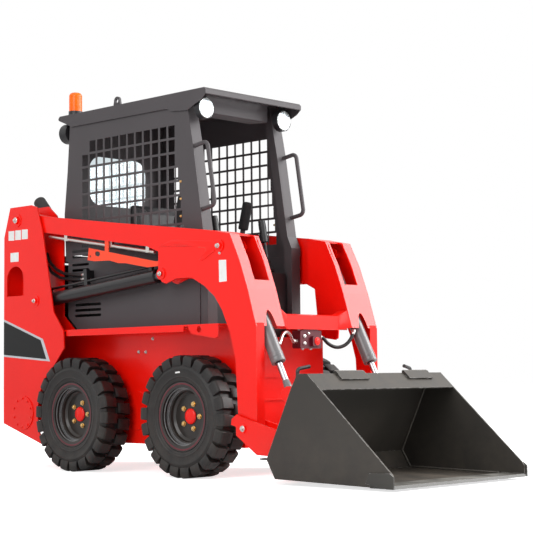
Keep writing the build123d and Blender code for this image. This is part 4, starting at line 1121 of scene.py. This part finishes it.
print("valve block")
valvePlugs = [
    # x, y, z, heading, radius and height of each plug or adapter; the first is painted
    (898, 28, 676, (1, 0, 0), 20, 5),
    (882, -50, 700, (1, 0, 0), 9, 9),
    (882, -50, 664, (1, 0, 0), 9, 9),
    (882, -20, 714, (1, 0, 0), 7, 8),
    (854, -60, 730, (0, 0, 1), 8, 10),
    (854, 60, 730, (0, 0, 1), 8, 10),
    (850, -30, 640, (0, 0, -1), 10, 8),
    (850, 30, 640, (0, 0, -1), 10, 8),
]
for i, (x, y, z, heading, r, tall) in enumerate(valvePlugs):
    bm = bmesh.new()
    place = at(x, y, z, heading)
    turned(bm, place, [(0, -1), (r, -1), (r, tall * 0.4), (r * 0.8, tall * 0.5), (0, tall * 0.5)], 24)
    prism(bm, place, ringOf(r * 0.72), tall, 0, r * 0.05)
    settle(f"valvePlug{i}", bm, ["fittingSteel" if i else "redPaint"], "loader_arms", 40)

print("bucket")
bucketTrim = {
    "ripple": 0.25,
    # x and z of each path, |y|, radius
    "sides": [([(1660, 26.5), (1112, 37), (1060, 119), (1216, 440), (1252, 502), (1300, 502),
                (1380, 441)], 491, 4.2),
              ([(1676, 27), (1790, 27)], 496, 3.4)],
    "plates": [(-304, -102), (199, 385)],  # from and to, in y
    "plateX": 1306, "plateZ": 525.5, "plateRadius": 2.6,
}


def weld(bm, path, radius):
    # a bead whose ripples follow the torch
    points = even([Vector(p) for p in path], 5)
    ripples = [0.5 * math.sin(i * 1.9) + noise.noise(Vector((i * 0.37, 0, 0))) for i in range(len(points))]
    tube(bm, points, [radius * (1 + bucketTrim["ripple"] * r) for r in ripples], 8)


def makeBucketTrim(s):
    bm = bmesh.new()
    for sign in (-1, 1):
        for path, y, radius in s["sides"]:
            weld(bm, [(x, sign * y, z) for x, z in path], radius)
    settle("bucketWelds", bm, ["weldSteel"], "bucket", 60)
    bm = bmesh.new()
    for ends in s["plates"]:
        weld(bm, [(s["plateX"], y, s["plateZ"]) for y in ends], s["plateRadius"])
    settle("plateWelds", bm, ["weldSteel"], "bucket", 60)


makeBucketTrim(bucketTrim)

print("small pieces")


def makeRodSleeves(s):
    # the plain grey shank between each tilt rod's chrome and its eye
    for hand, sign in hands:
        pin, top = (Vector((x, sign * s["y"], z)) for x, z in (s["pin"], s["top"]))
        heading = (top - pin).normalized()
        turnedPiece(f"rodSleeve_{hand}", at(*(pin + heading * s["sleeveFrom"]), heading), s["sleeve"], 32,
                    "greyPaint", "tilt_rods", 40, True)


tyrePatch = {"radius": 222, "turn": math.radians(95), "y": 485.4, "half": (17, 5), "thick": 1.4, "bevel": 0.3}


def makeTyrePatch(s):
    # a small blank patch near the top of the front right sidewall
    out = Vector((math.cos(s["turn"]), 0, math.sin(s["turn"])))
    x, z = tyre["axleX"] + s["radius"] * out.x, tyre["radius"] + s["radius"] * out.z
    u, v = s["half"]
    bm = bmesh.new()
    place = at(x, -s["y"], z, (0, -1, 0), (out.z, 0, -out.x))
    prism(bm, place, [(-u, -v), (u, -v), (u, v), (-u, v)], s["thick"], 0, s["bevel"])
    settle("tyrePatch", bm, ["labelWhite"], "wheel_front_right", 40)


cabScrews = {
    # body, finish, size, heading, then x, y, z of each
    "roofScrews": ("chassis", "fittingSteel", 6, (0, 0, 1),
                   [(x, sign * 330, 1976) for x in (-560, -330, -60, 160, 380) for sign in (-1, 1)]),
    **{"sideScrews" + hand.capitalize(): ("chassis", "zincGold", 6, (0, sign, 0),
                                          [(300, sign * 347, z) for z in (1330, 1420, 1510)])
       for hand, sign in hands},
    "hoodScrews": ("chassis", "fittingSteel", 7, (0, 0, 1),
                   [(x, sign * 215, 1184) for x in (-1020, -690) for sign in (-1, 1)]),
    "doorScrews": ("rear_door", "fittingSteel", 5, (-1, 0, 0),
                   [(-1066, sign * 225, z) for z in (640, 880, 1120) for sign in (-1, 1)]),
}


def makeCabScrews(s):
    for name, (body, material, size, heading, spots) in s.items():
        places = [at(x, y, z, heading, (0.3, 0.5, 0.8)) for x, y, z in spots]
        scatter(name, boltSeed(size), places, material, body)


doorHandle = {
    "place": (-1065.6, -170, 900), "bevel": 1.6,
    # outline of the plate and of the pull, with their heights
    "plates": [([(-26, -55), (26, -55), (26, 55), (-26, 55)], 4),
               ([(-9, -40), (9, -40), (9, 28), (-9, 28)], 5.6)],
    "lock": [(0, 0), (7, 0), (7, 1.6), (5.5, 2.6), (0, 2.6)], "lockAt": (-1068.6, -170, 942),
}


def makeDoorHandle(s):
    # a flush pull with a lock barrel, on the rear door
    bm = bmesh.new()
    for outline, tall in s["plates"]:
        prism(bm, at(*s["place"], (-1, 0, 0), (0, 1, 0)), outline, tall, 0, s["bevel"])
    turned(bm, at(*s["lockAt"], (-1, 0, 0)), s["lock"], 20)
    settle("doorHandle", bm, ["gripPlastic"], "rear_door", 40)


makeRodSleeves(tiltCylinder)
makeTyrePatch(tyrePatch)
makeCabScrews(cabScrews)
makeDoorHandle(doorHandle)
